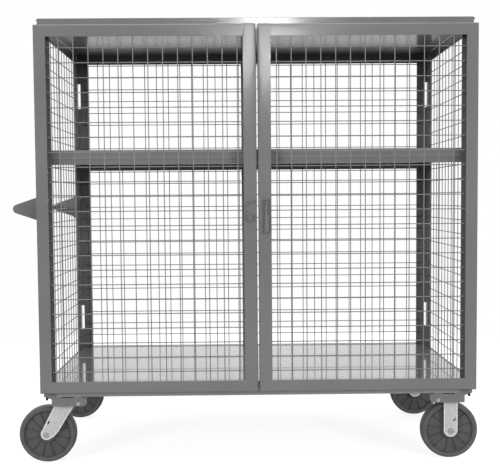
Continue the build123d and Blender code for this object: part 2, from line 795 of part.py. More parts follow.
with BuildPart() as door_frame_right:
    with BuildSketch(front(DOOR_Y1)):
        with Locations((DOOR_XM, DOOR_ZM)):
            Rectangle(DOOR_W, DOOR_H)
    extrude(amount=DOOR_Y1 - DOOR_Y0)
    fillet(door_frame_right.faces().sort_by(Axis.Y)[0].edges(), BEND_R)
    add(door_cavity.part, mode=Mode.SUBTRACT)
    with BuildSketch(front(DOOR_Y0 + DOOR_T)):
        with Locations((
            (DOOR_X0 + STILE_MEET + DOOR_X1 - STILE_HINGE) / 2, DOOR_ZM
        )):
            Rectangle(
                DOOR_X1 - STILE_HINGE - DOOR_X0 - STILE_MEET, DOOR_H - 2 * RAIL
            )
    extrude(amount=DOOR_T, mode=Mode.SUBTRACT)
    for z in SLOT_Z:
        with BuildSketch(side(DOOR_X1 - DOOR_T)):
            with Locations((DOOR_Y1, z + SLOT_L / 2)):
                Rectangle(7.0, SLOT_L)
        extrude(amount=DOOR_T, mode=Mode.SUBTRACT)
save(door_frame_right.part, "door_frame_right")

with BuildPart() as door_frame_left:
    mirror(door_frame_right.part, about=MIDDLE)
save(door_frame_left.part, "door_frame_left")

# ---------------------------------------------------------------------------
# Hinges: three-knuckle barrel outside the corner, pin fixed in the post leaf
# ---------------------------------------------------------------------------
K1, K2, K3 = (0.0, 31.5), (31.8, 72.8), (73.1, HINGE_L)

with BuildPart() as post_leaves_right:
    for z0 in HINGE_Z:
        for a, b in (K1, K3):
            with BuildSketch(level(z0 + a)):
                with Locations((HINGE_X, HINGE_Y)):
                    Circle(BARREL_R)
                with BuildLine():
                    Polyline(
                        (753.8, 46.5), (753.8, 55.0), (756.0, 55.0),
                        (756.0, 49.8), (761.6, 41.6), (758.0, 39.0), close=True,
                    )
                make_face()
                with Locations((HINGE_X, HINGE_Y)):
                    Circle(PIN_R + 0.03, mode=Mode.SUBTRACT)
            extrude(amount=b - a)
        with BuildSketch(level(z0)):
            with Locations((754.9, 68.5)):
                Rectangle(2.2, 27.0)
        extrude(amount=HINGE_L)
save(post_leaves_right.part, "hinge_post_leaves_right")

with BuildPart() as post_leaves_left:
    mirror(post_leaves_right.part, about=MIDDLE)
save(post_leaves_left.part, "hinge_post_leaves_left")

with BuildPart() as door_leaves_right:
    for z0 in HINGE_Z:
        with BuildSketch(level(z0)):
            with Locations((758.4, 18.25)):
                Rectangle(2.2, 24.5)
        extrude(amount=HINGE_L)
        with BuildSketch(level(z0 + K2[0])):
            with Locations((758.4, 30.0)):
                Rectangle(2.2, 13.5)
            with Locations((HINGE_X, HINGE_Y)):
                Circle(BARREL_R)
                Circle(PIN_R + 0.07, mode=Mode.SUBTRACT)
        extrude(amount=K2[1] - K2[0])
save(door_leaves_right.part, "hinge_door_leaves_right")

with BuildPart() as door_leaves_left:
    mirror(door_leaves_right.part, about=MIDDLE)
save(door_leaves_left.part, "hinge_door_leaves_left")

with BuildPart() as hinge_pins:
    for sx in (-1, 1):
        for z0 in HINGE_Z:
            with BuildSketch(level(z0)):
                with Locations((sx * HINGE_X, HINGE_Y)):
                    Circle(PIN_R)
            extrude(amount=HINGE_L)
save(hinge_pins.part, "hinge_pins")

# ---------------------------------------------------------------------------
# Latch: a hooked rod slides and turns in a sleeve on the right door, and its
# short leg drops into a keeper on the left door
# ---------------------------------------------------------------------------
with BuildPart() as latch_sleeve:
    with BuildSketch(front(DOOR_Y0)):
        with Locations((23.0, 851.5)):
            RectangleRounded(30, 65, 3)
    extrude(amount=2.5)
    with BuildSketch(level(821.0)):
        with Locations((ROD_X, ROD_Y)):
            Circle(8.0)
    extrude(amount=60.5)
    with BuildSketch(level(821.0)):
        with Locations((ROD_X, ROD_Y)):
            Circle(ROD_R + 0.1)
    extrude(amount=60.5, mode=Mode.SUBTRACT)
save(latch_sleeve.part, "latch_sleeve")

KEEP_X = ROD_X - ROD_SPAN
with BuildPart() as latch_keeper:
    with BuildSketch(front(DOOR_Y0)):
        with Locations((KEEP_X, 873.0)):
            RectangleRounded(27, 34, 3)
    extrude(amount=2.5)
    with BuildSketch(level(864.0)):
        with Locations((KEEP_X, ROD_Y)):
            Circle(8.2)
    extrude(amount=20)
    with BuildSketch(level(864.0)):
        with Locations((KEEP_X, ROD_Y)):
            Circle(ROD_R + 0.9)
    extrude(amount=20, mode=Mode.SUBTRACT)
save(latch_keeper.part, "latch_keeper")

with BuildPart() as latch_collar:
    with BuildSketch(level(881.8 + LIFT)):
        with Locations((ROD_X, ROD_Y)):
            Circle(7.2)
            Circle(ROD_R + 0.06, mode=Mode.SUBTRACT)
    extrude(amount=3.0)
save(latch_collar.part, "latch_collar")

ROD_TOP = 919.7 - ROD_R + LIFT
TIP_X = ROD_X - ROD_SPAN * cos(radians(SWING))
TIP_Y = ROD_Y - ROD_SPAN * sin(radians(SWING))
with BuildPart() as latch_rod:
    with BuildLine() as rod_path:
        FilletPolyline(
            (XC + ROD_X, YD + ROD_Y, 812.0 + LIFT),
            (XC + ROD_X, YD + ROD_Y, ROD_TOP),
            (XC + TIP_X, YD + TIP_Y, ROD_TOP),
            (XC + TIP_X, YD + TIP_Y, 868.0 + LIFT),
            radius=9.0,
        )
    with BuildSketch(level(812.0 + LIFT)):
        with Locations((ROD_X, ROD_Y)):
            Circle(ROD_R)
    sweep()
    with BuildSketch(level(885.1 + LIFT)):
        with Locations((ROD_X, ROD_Y)):
            Circle(6.2)
    extrude(amount=2.2)
save(latch_rod.part, "latch_rod")
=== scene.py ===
import json
from math import acos, atan2, cos, degrees, hypot, pi, radians, sin, sqrt, tan

import bmesh
import bpy
from mathutils import Matrix, Vector

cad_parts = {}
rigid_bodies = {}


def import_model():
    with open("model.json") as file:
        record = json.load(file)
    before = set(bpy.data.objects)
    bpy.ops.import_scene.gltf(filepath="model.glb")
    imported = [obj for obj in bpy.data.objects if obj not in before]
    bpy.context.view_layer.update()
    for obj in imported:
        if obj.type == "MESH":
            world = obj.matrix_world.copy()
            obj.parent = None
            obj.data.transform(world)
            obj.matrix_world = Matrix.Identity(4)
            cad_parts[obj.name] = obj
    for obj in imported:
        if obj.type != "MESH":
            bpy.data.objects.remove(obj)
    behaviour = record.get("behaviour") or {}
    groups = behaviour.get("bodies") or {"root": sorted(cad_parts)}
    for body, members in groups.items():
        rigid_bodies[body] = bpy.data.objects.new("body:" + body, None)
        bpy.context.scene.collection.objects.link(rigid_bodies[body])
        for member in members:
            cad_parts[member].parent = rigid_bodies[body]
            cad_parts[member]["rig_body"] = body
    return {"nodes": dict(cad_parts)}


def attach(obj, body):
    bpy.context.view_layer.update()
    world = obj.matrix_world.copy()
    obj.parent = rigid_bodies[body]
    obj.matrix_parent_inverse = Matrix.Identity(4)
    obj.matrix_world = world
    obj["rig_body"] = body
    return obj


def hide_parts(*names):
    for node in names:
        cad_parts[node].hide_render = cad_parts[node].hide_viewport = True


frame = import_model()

# Wire mesh security cart.  Lengths below are millimetres in the body's own
# axes: X from the middle of the body, Y from the doors' upright wires towards
# the back, Z from 3.5 mm above the floor.  place() turns them into the
# frame's metres.
XC, YD, ZD = 36.2, -376.69, 3.5
ROOM_LOW, ROOM_HIGH, ROOM_BACK = 0.15, 0.60, 1.0
FLOOR_GLOW, FLOOR_BOUNCE = 0.81, 0.20
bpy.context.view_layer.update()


def place(x, y, z):
    return ((XC + x) / 1000.0, (YD + y) / 1000.0, (ZD + z) / 1000.0)


BODY_OF = {n: o["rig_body"] for n, o in frame["nodes"].items()}


# ---------------------------------------------------------------------------
# Mesh helpers
# ---------------------------------------------------------------------------
def xz(u, v, w):
    return (u, w, v)


def xy(u, v, w):
    return (u, v, w)


def yz(u, v, w):
    return (w, u, v)


def arc(cx, cy, r, a0, a1, n):
    """Points from angle a0 to a1, degrees, both ends included."""
    return [(cx + r * cos(radians(a0 + (a1 - a0) * i / n)),
             cy + r * sin(radians(a0 + (a1 - a0) * i / n))) for i in range(n + 1)]


def rounded(points, radii, n=5):
    """A closed polygon with its corners rounded; radii is a number or a list."""
    out = []
    k = len(points)
    for i, p in enumerate(points):
        r = radii[i] if isinstance(radii, (list, tuple)) else radii
        a, b, c = Vector(points[i - 1]), Vector(p), Vector(points[(i + 1) % k])
        u, v = (a - b), (c - b)
        if r <= 0 or u.length < 1e-6 or v.length < 1e-6:
            out.append(tuple(p))
            continue
        u.normalize(), v.normalize()
        ang = acos(max(-1.0, min(1.0, u.dot(v))))
        if ang > pi - 0.02:
            out.append(tuple(p))
            continue
        d = min(r / tan(ang / 2), 0.49 * (a - b).length, 0.49 * (c - b).length)
        r = d * tan(ang / 2)
        mid = b + (u + v).normalized() * (r / sin(ang / 2))
        s, e = b + u * d - mid, b + v * d - mid
        a0, a1 = atan2(s.y, s.x), atan2(e.y, e.x)
        while a1 - a0 > pi:
            a1 -= 2 * pi
        while a0 - a1 > pi:
            a1 += 2 * pi
        for j in range(n + 1):
            t = a0 + (a1 - a0) * j / n
            out.append((mid.x + r * cos(t), mid.y + r * sin(t)))
    return out


def area2(poly):
    return sum(poly[i - 1][0] * p[1] - p[0] * poly[i - 1][1]
               for i, p in enumerate(poly))


def inset(poly, d):
    """The polygon moved inwards by d, whichever way round it runs."""
    s = 1.0 if area2(poly) > 0 else -1.0
    out, k = [], len(poly)
    for i in range(k):
        a, b, c = Vector(poly[i - 1]), Vector(poly[i]), Vector(poly[(i + 1) % k])
        e, f = (b - a), (c - b)
        if e.length < 1e-9:
            e = f.copy()
        if f.length < 1e-9:
            f = e.copy()
        e.normalize(), f.normalize()
        m, q = Vector((-e.y, e.x)) * s, Vector((-f.y, f.x)) * s
        w = max(0.25, 1 + m.dot(q))
        out.append(tuple(b + (m + q) * (d / w)))
    return out


def rect(x0, y0, x1, y1, r=0.0, n=5):
    p = [(x0, y0), (x1, y0), (x1, y1), (x0, y1)]
    return rounded(p, r, n) if r else p


def circle(cx, cy, r, n=24):
    return arc(cx, cy, r, 0, 360 - 360.0 / n, n - 1)


class Shape:
    """Vertices and faces of one piece, in body millimetres."""

    def __init__(self):
        self.v, self.f, self.m = [], [], []

    def add(self, verts, faces, mat=0):
        k = len(self.v)
        self.v += [tuple(p) for p in verts]
        self.f += [tuple(k + i for i in f) for f in faces]
        self.m += [mat] * len(faces)
        return self

    def loft(self, rings, around=True, along=False, caps=True, mat=0):
        n, count = len(rings[0]), len(rings)
        faces = []
        for i in range(count if along else count - 1):
            a, b = i * n, ((i + 1) % count) * n
            for j in range(n if around else n - 1):
                k = (j + 1) % n
                faces.append((a + j, a + k, b + k, b + j))
        if caps and around and not along:
            faces.append(tuple(range(n))[::-1])
            faces.append(tuple((count - 1) * n + j for j in range(n)))
        return self.add([p for r in rings for p in r], faces, mat)

    def prism(self, poly, to3d, a, b, bev=0.4, mat=0):
        """A polygon extruded from a to b with its end edges broken."""
        if b < a:
            a, b = b, a
        small = inset(poly, bev) if bev else poly
        rings = [[to3d(u, v, a) for u, v in small]] if bev else []
        rings += [[to3d(u, v, a + bev) for u, v in poly],
                  [to3d(u, v, b - bev) for u, v in poly]]
        if bev:
            rings.append([to3d(u, v, b) for u, v in small])
        return self.loft(rings, mat=mat)

    def rod(self, p, q, r, n=12, end=0.35, mat=0):
        """A round bar with broken ends."""
        p, q = Vector(p), Vector(q)
        d = (q - p).normalized()
        side = d.orthogonal().normalized()
        up = d.cross(side)
        c = r * end
        rings = []
        for t, k in ((0, r - c), (c, r), ((q - p).length - c, r), ((q - p).length, r - c)):
            rings.append([tuple(p + d * t + (side * cos(2 * pi * i / n)
                                             + up * sin(2 * pi * i / n)) * k)
                          for i in range(n)])
        return self.loft(rings, mat=mat)

    def revolve(self, profile, centre, axis="y", n=64, closed=True, mat=0):
        """A section of (radius, height) turned about an axis through centre."""
        cx, cy, cz = centre
        rings = []
        for r, h in profile:
            ring = []
            for i in range(n):
                c, s = r * cos(2 * pi * i / n), r * sin(2 * pi * i / n)
                ring.append({"x": (cx + h, cy + c, cz + s),
                             "y": (cx + c, cy + h, cz + s),
                             "z": (cx + c, cy + s, cz + h)}[axis])
            rings.append(ring)
        return self.loft(rings, along=closed, mat=mat)

    def ball(self, centre, radii, n=8, m=5, mat=0):
        """A small lump of weld."""
        cx, cy, cz = centre
        rx, ry, rz = radii if hasattr(radii, "__len__") else (radii,) * 3
        rings = []
        for j in range(1, m):
            t = pi * j / m
            rings.append([(cx + rx * sin(t) * cos(2 * pi * i / n),
                           cy + ry * sin(t) * sin(2 * pi * i / n),
                           cz - rz * cos(t)) for i in range(n)])
        return self.loft(rings, mat=mat)

    def bead(self, p, q, r, flat=0.7, mat=0):
        """A run of weld: overlapping ripples from p to q."""
        p, q = Vector(p), Vector(q)
        steps = max(1, int((q - p).length / (0.75 * r)))
        for i in range(steps + 1):
            c = p.lerp(q, i / steps)
            k = r * (1.0 + 0.16 * sin(i * 2.399))
            self.ball(tuple(c), (k, k * flat, k), 8, 5, mat)
        return self

    def hexagon(self, centre, axis, across, height, spin=0.0, mat=0, base=0.0):
        """A hexagon head or nut with its corners chamfered; height may be negative."""
        n = 24
        half = across / 2
        sign = 1 if height > 0 else -1
        h = abs(height)
        rows = [[], [], []]
        for i in range(n):
            t = 2 * pi * i / n
            near = ((degrees(t) + 30) % 60) - 30
            r = half / cos(radians(near))
            edge = h - (r - half * 0.97) / 1.9
            rows[0].append((r, 0.0, t))
            rows[1].append((r, edge, t))
            rows[2].append((half * 0.94, h, t))
        cx, cy, cz = centre
        rings = []
        for row in rows:
            ring = []
            for r, k, t in row:
                c, s = r * cos(t + radians(spin)), r * sin(t + radians(spin))
                k = sign * k + base
                ring.append({"x": (cx + k, cy + c, cz + s),
                             "y": (cx + c, cy + k, cz + s),
                             "z": (cx + c, cy + s, cz + k)}[axis])
            rings.append(ring)
        return self.loft(rings, mat=mat)

    def plate(self, outline, holes, to3d, a, b, bev=0.5, mat=0):
        """A plate with holes, from a to b, with its edges broken."""
        if b < a:
            a, b = b, a
        cu = bpy.data.curves.new("plate", "CURVE")
        cu.dimensions = "2D"
        cu.fill_mode = "BOTH"
        cu.extrude = (b - a) / 2 - bev
        cu.bevel_depth = bev
        cu.offset = -bev
        cu.bevel_resolution = 1
        for loop in [outline] + list(holes):
            sp = cu.splines.new("POLY")
            sp.points.add(len(loop) - 1)
            for point, (x, y) in zip(sp.points, loop):
                point.co = (x, y, 0, 1)
            sp.use_cyclic_u = True
        ob = bpy.data.objects.new("plate", cu)
        bpy.context.scene.collection.objects.link(ob)
        bpy.context.view_layer.update()
        me = bpy.data.meshes.new_from_object(
            ob.evaluated_get(bpy.context.evaluated_depsgraph_get()))
        bm = bmesh.new()
        bm.from_mesh(me)
        bmesh.ops.remove_doubles(bm, verts=bm.verts, dist=0.01)
        bm.verts.ensure_lookup_table()
        mid = (a + b) / 2
        verts = [to3d(v.co.x, v.co.y, mid + v.co.z) for v in bm.verts]
        faces = [tuple(v.index for v in f.verts) for f in bm.faces]
        self.add(verts, faces, mat)
        bm.free()
        bpy.data.objects.remove(ob)
        bpy.data.curves.remove(cu)
        bpy.data.meshes.remove(me)
        return self

    def sweep(self, path, r, n=16, mat=0):
        """A round bar along a smooth path, with domed ends."""
        pts = [Vector(p) for p in path]
        tangents = []
        for i in range(len(pts)):
            tangents.append((pts[min(i + 1, len(pts) - 1)]
                             - pts[max(i - 1, 0)]).normalized())
        side = tangents[0].orthogonal().normalized()
        rings = []

        def ring(c, t, k):
            up = t.cross(side)
            rings.append([tuple(c + (side * cos(2 * pi * i / n)
                                     + up * sin(2 * pi * i / n)) * k)
                          for i in range(n)])

        for a in (80, 55, 30):
            ring(pts[0] + tangents[0] * r * 0.45 * (1 - sin(radians(a))),
                 tangents[0], r * cos(radians(a)))
        for i, (c, t) in enumerate(zip(pts, tangents)):
            side = (side - t * side.dot(t)).normalized()
            if i == 0:
                c = c + t * r * 0.45
            if i == len(pts) - 1:
                c = c - t * r * 0.45
            ring(c, t, r)
        for a in (30, 55, 80):
            ring(pts[-1] - tangents[-1] * r * 0.45 * (1 - sin(radians(a))),
                 tangents[-1], r * cos(radians(a)))
        return self.loft(rings, mat=mat)

    def mirrored(self):
        other = Shape()
        other.v = [(-x, y, z) for x, y, z in self.v]
        other.f = [f[::-1] for f in self.f]
        other.m = list(self.m)
        return other

    def moved(self, dx=0.0, dy=0.0, dz=0.0):
        other = Shape()
        other.v = [(x + dx, y + dy, z + dz) for x, y, z in self.v]
        other.f, other.m = list(self.f), list(self.m)
        return other

    def join(self, other):
        mats = list(other.m)
        k = len(self.v)
        self.v += other.v
        self.f += [tuple(k + i for i in f) for f in other.f]
        self.m += mats
        return self


def mesh_object(shape, name, mats, angle=35.0):
    me = bpy.data.meshes.new(name)
    me.from_pydata([place(*p) for p in shape.v], [], shape.f)
    for m in mats:
        me.materials.append(m)
    me.polygons.foreach_set("material_index", shape.m)
    me.validate()
    bm = bmesh.new()
    bm.from_mesh(me)
    bmesh.ops.recalc_face_normals(bm, faces=bm.faces)
    bm.to_mesh(me)
    bm.free()
    me.polygons.foreach_set("use_smooth", [True] * len(me.polygons))
    me.set_sharp_from_angle(angle=radians(angle))
    me.update()
    ob = bpy.data.objects.new(name, me)
    bpy.context.scene.collection.objects.link(ob)
    return ob


def carve(ob, boxes):
    """Takes boxes, in body millimetres, out of a closed mesh."""
    cutter = Shape()
    for (x0, y0, z0), (x1, y1, z1) in boxes:
        cutter.prism(rect(x0, y0, x1, y1), xy, z0, z1, 0)
    tool = mesh_object(cutter, "cutter", [])
    mod = ob.modifiers.new("cut", "BOOLEAN")
    mod.operation = "DIFFERENCE"
    mod.solver = "EXACT"
    mod.object = tool
    bpy.context.view_layer.update()
    me = bpy.data.meshes.new_from_object(
        ob.evaluated_get(bpy.context.evaluated_depsgraph_get()))
    ob.modifiers.clear()
    old = ob.data
    ob.data = me
    me.name = ob.name
    bpy.data.meshes.remove(old)
    gone = tool.data
    bpy.data.objects.remove(tool)
    bpy.data.meshes.remove(gone)
    me.polygons.foreach_set("use_smooth", [True] * len(me.polygons))
    me.set_sharp_from_angle(angle=radians(35))
    return ob


def piece(shape, name, nodes, mats, body=None, angle=35.0, cuts=None):
    """Makes the mesh, puts it on its body and lets it stand for CAD nodes."""
    mats = mats if isinstance(mats, (list, tuple)) else [mats]
    ob = mesh_object(shape, name, mats, angle)
    if cuts:
        carve(ob, cuts)
    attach(ob, body or BODY_OF[nodes[0]])
    if nodes:
        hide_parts(*nodes)
    return ob


# ---------------------------------------------------------------------------
# Materials
# ---------------------------------------------------------------------------
def nodes_of(name):
    m = bpy.data.materials.new(name)
    m.use_nodes = True
    t = m.node_tree
    t.nodes.clear()
    out = t.nodes.new("ShaderNodeOutputMaterial")
    bsdf = t.nodes.new("ShaderNodeBsdfPrincipled")
    t.links.new(bsdf.outputs["BSDF"], out.inputs["Surface"])
    tc = t.nodes.new("ShaderNodeTexCoord")
    return m, t, bsdf, tc.outputs["Object"]


def noise(t, co, scale, detail=3.0, rough=0.55, dist=0.0):
    n = t.nodes.new("ShaderNodeTexNoise")
    n.inputs["Scale"].default_value = scale
    n.inputs["Detail"].default_value = detail
    n.inputs["Roughness"].default_value = rough
    n.inputs["Distortion"].default_value = dist
    t.links.new(co, n.inputs["Vector"])
    return n.outputs["Fac"]


def remap(t, fac, a, b, lo=0.35, hi=0.65):
    r = t.nodes.new("ShaderNodeMapRange")
    r.inputs["From Min"].default_value = lo
    r.inputs["From Max"].default_value = hi
    r.inputs["To Min"].default_value = a
    r.inputs["To Max"].default_value = b
    t.links.new(fac, r.inputs["Value"])
    return r.outputs["Result"]


def mix(t, fac, a, b):
    r = t.nodes.new("ShaderNodeMix")
    r.data_type = "RGBA"
    for key, val in (("A", a), ("B", b)):
        sock = [s for s in r.inputs if s.name == key and s.type == "RGBA"][0]
        if isinstance(val, (tuple, list)):
            sock.default_value = (*val[:3], 1)
        else:
            t.links.new(val, sock)
    f = [s for s in r.inputs if s.name == "Factor" and s.type == "VALUE"][0]
    t.links.new(fac, f)
    return [s for s in r.outputs if s.type == "RGBA"][0]


def bump(t, bsdf, layers):
    """layers: (height socket, strength, distance)."""
    last = None
    for h, strength, dist in layers:
        b = t.nodes.new("ShaderNodeBump")
        b.inputs["Strength"].default_value = strength
        b.inputs["Distance"].default_value = dist
        t.links.new(h, b.inputs["Height"])
        if last is not None:
            t.links.new(last, b.inputs["Normal"])
        last = b.outputs["Normal"]
    t.links.new(last, bsdf.inputs["Normal"])


def scaled(t, co, sx, sy, sz):
    m = t.nodes.new("ShaderNodeMapping")
    m.inputs["Scale"].default_value = (sx, sy, sz)
    t.links.new(co, m.inputs["Vector"])
    return m.outputs["Vector"]


def enamel(name, tone, rough, peel=0.10, coat=0.25, gloss=0.09, wave=0.05,
           coat_ior=1.5):
    """Baked grey enamel: faint tone drift, orange peel, a few dull scuffs."""
    m, t, bsdf, co = nodes_of(name)
    drift = noise(t, co, 3.5, 2.0)
    fine = noise(t, co, 70.0, 4.0)
    lo = tuple(c * 0.93 for c in tone)
    hi = tuple(c * 1.06 for c in tone)
    base = mix(t, remap(t, drift, 0.0, 1.0, 0.3, 0.7), lo, hi)
    speck = remap(t, noise(t, co, 420.0, 2.0), 0.0, 0.5, 0.66, 0.74)
    base = mix(t, speck, base, tuple(c * 1.35 for c in tone))
    t.links.new(base, bsdf.inputs["Base Color"])
    t.links.new(remap(t, fine, rough - 0.05, rough + 0.07), bsdf.inputs["Roughness"])
    bsdf.inputs["IOR"].default_value = 1.5
    bsdf.inputs["Coat Weight"].default_value = coat
    bsdf.inputs["Coat Roughness"].default_value = gloss
    bsdf.inputs["Coat IOR"].default_value = coat_ior
    bump(t, bsdf, [(noise(t, co, 260.0, 2.0), peel, 0.0004),
                   (noise(t, co, 9.0, 1.0), wave, 0.004)])
    return m


def zinc_plate(name, tone, rough, cell=90.0):
    """Bright zinc: crystalline patches, fine draw lines, pitting."""
    m, t, bsdf, co = nodes_of(name)
    v = t.nodes.new("ShaderNodeTexVoronoi")
    v.inputs["Scale"].default_value = cell
    v.inputs["Randomness"].default_value = 1.0
    t.links.new(co, v.inputs["Vector"])
    sep = t.nodes.new("ShaderNodeSeparateColor")
    t.links.new(v.outputs["Color"], sep.inputs["Color"])
    patches = sep.outputs["Red"]
    lo, hi = tuple(c * 0.91 for c in tone), tuple(min(1, c * 1.06) for c in tone)
    base = mix(t, patches, lo, hi)
    t.links.new(base, bsdf.inputs["Base Color"])
    bsdf.inputs["Metallic"].default_value = 0.35
    t.links.new(remap(t, patches, rough - 0.04, rough + 0.05, 0.0, 1.0),
                bsdf.inputs["Roughness"])
    draw = noise(t, scaled(t, co, 900.0, 900.0, 60.0), 1.0, 2.0)
    bump(t, bsdf, [(draw, 0.10, 0.0003), (noise(t, co, 500.0, 3.0), 0.08, 0.0003)])
    return m


def bright_steel(name, tone, rough):
    m, t, bsdf, co = nodes_of(name)
    a = noise(t, co, 220.0, 4.0)
    base = mix(t, remap(t, a, 0.0, 1.0), tuple(c * 0.88 for c in tone), tone)
    t.links.new(base, bsdf.inputs["Base Color"])
    bsdf.inputs["Metallic"].default_value = 1.0
    t.links.new(remap(t, a, rough - 0.05, rough + 0.08), bsdf.inputs["Roughness"])
    bump(t, bsdf, [(noise(t, co, 900.0, 2.0), 0.08, 0.0002)])
    return m


def moulded(name, tone):
    """Charcoal moulding: fine matt grain, flow marks, dusty high spots."""
    m, t, bsdf, co = nodes_of(name)
    flow = noise(t, co, 26.0, 5.0, 0.6, 0.6)
    base = mix(t, remap(t, flow, 0.0, 1.0), tuple(c * 0.86 for c in tone),
               tuple(c * 1.14 for c in tone))
    dust = remap(t, noise(t, co, 340.0, 2.0), 0.0, 0.4, 0.60, 0.75)
    base = mix(t, dust, base, tuple(min(1, c * 1.9) for c in tone))
    t.links.new(base, bsdf.inputs["Base Color"])
    t.links.new(remap(t, flow, 0.42, 0.56), bsdf.inputs["Roughness"])
    bsdf.inputs["IOR"].default_value = 1.5
    bump(t, bsdf, [(noise(t, co, 1100.0, 2.0), 0.16, 0.0004),
                   (noise(t, co, 60.0, 3.0), 0.10, 0.0008)])
    return m


GREY = enamel("grey_enamel", (0.119, 0.120, 0.122), 0.45, 0.03, 0.45, 0.20, 0.02)
# the same grey enamel with a lighter base for the rear posts: painted light standing in for the
# front light that reaches their inner faces
POST_LIT_ENAMEL = enamel("post_enamel_painted_light", (0.185, 0.186, 0.189), 0.45, 0.03, 0.45, 0.20, 0.02)
SHEETM = enamel("sheet_enamel", (0.118, 0.119, 0.121), 0.42, 0.006, 0.7, 0.16, 0.004)
# the same grey enamel with a lighter base for the deck top: painted light standing in for the
# light falling on it; its glossy coat reflects for real
DECK_LIT_ENAMEL = enamel("deck_enamel_painted_light", (0.160, 0.161, 0.164), 0.20, 0.006, 1.0, 0.05, 0.004, 1.9)
WIRE = enamel("wire_enamel", (0.160, 0.161, 0.164), 0.38, 0.06, 0.5, 0.15)
BEADM = enamel("weld_enamel", (0.165, 0.166, 0.169), 0.26, 0.20, 0.8)
SHELFM = enamel("shelf_enamel", (0.145, 0.146, 0.148), 0.34, 0.02, 0.6, 0.10, 0.01)
ZINC = zinc_plate("zinc_plate", (0.475, 0.48, 0.488), 0.42)
ZINCRIM = zinc_plate("zinc_rim", (0.68, 0.685, 0.695), 0.30, 140.0)
BOLT = bright_steel("bright_bolt", (0.72, 0.72, 0.73), 0.34)
AXLEM = bright_steel("axle_steel", (0.70, 0.70, 0.71), 0.48)
LATCHM = enamel("latch_enamel", (0.118, 0.119, 0.121), 0.55, 0.03, 0.10, 0.30, 0.01)
HORNM = enamel("horn_enamel", (0.122, 0.123, 0.125), 0.60, 0.03, 0.08, 0.35, 0.02)
BLACK = bright_steel("black_oxide", (0.035, 0.036, 0.040), 0.36)
BEARING = bright_steel("bearing_steel", (0.62, 0.63, 0.65), 0.20)
WHEEL = moulded("moulded_wheel", (0.061, 0.062, 0.064))
TREAD = moulded("moulded_tread", (0.068, 0.069, 0.071))

# ---------------------------------------------------------------------------
# CAD nodes that are shown as they are: paint them and break their edges
# ---------------------------------------------------------------------------
PAINT = {
    # the deck takes a lighter copy of the grey enamel: painted light
    "deck_pan": DECK_LIT_ENAMEL, "roof_panel": SHEETM, "shelf_panel": SHELFM,
    "caster_channel_left": GREY, "caster_channel_right": GREY,
    "post_front_left": GREY, "post_front_right": GREY,
    # rear posts take the lighter copy of the grey enamel: painted light
    "post_rear_left": POST_LIT_ENAMEL, "post_rear_right": POST_LIT_ENAMEL,
    "back_center_strip": GREY, "shelf_front_angle": GREY, "shelf_clips": GREY,
    "swivel_balls_front": BEARING, "swivel_balls_rear": BEARING,
}


def keep(name, mat, bevel=0.45):
    ob = frame["nodes"][name]
    if ob.material_slots:
        for s in ob.material_slots:
            s.material = mat
    else:
        ob.data.materials.append(mat)
    if bevel:
        w = ob.modifiers.new("weld", "WELD")
        w.merge_threshold = 0.00002
        b = ob.modifiers.new("edges", "BEVEL")
        b.width = bevel / 1000.0
        b.segments = 2
        b.limit_method = "ANGLE"
        b.angle_limit = radians(50)
        b.harden_normals = False
    return ob


for node_name, node_mat in PAINT.items():
    keep(node_name, node_mat,
         0 if node_name.startswith("swivel_balls") else 0.45)

# ---------------------------------------------------------------------------
# Wire panels
# ---------------------------------------------------------------------------
PITCH, WR = 50.8, 1.715


def wire_panel(name, node, ups, levels, up_line, level_line, weld_at, ends=()):
    """up_line(u) and level_line(z) give each wire's two ends; weld_at(u, z) its crossings."""
    s = Shape()
    for u in ups:
        p, q = up_line(u)
        s.rod(p, q, WR, 12)
    for z in levels:
        p, q = level_line(z)
        s.rod(p, q, WR, 12)
    for u in ups:
        for z in levels:
            c, r = weld_at(u, z)
            s.ball(c, r, 6, 4)
    for c, r in ends:
        s.ball(c, r, 8, 5)
    return piece(s, name, [node], WIRE, angle=60)


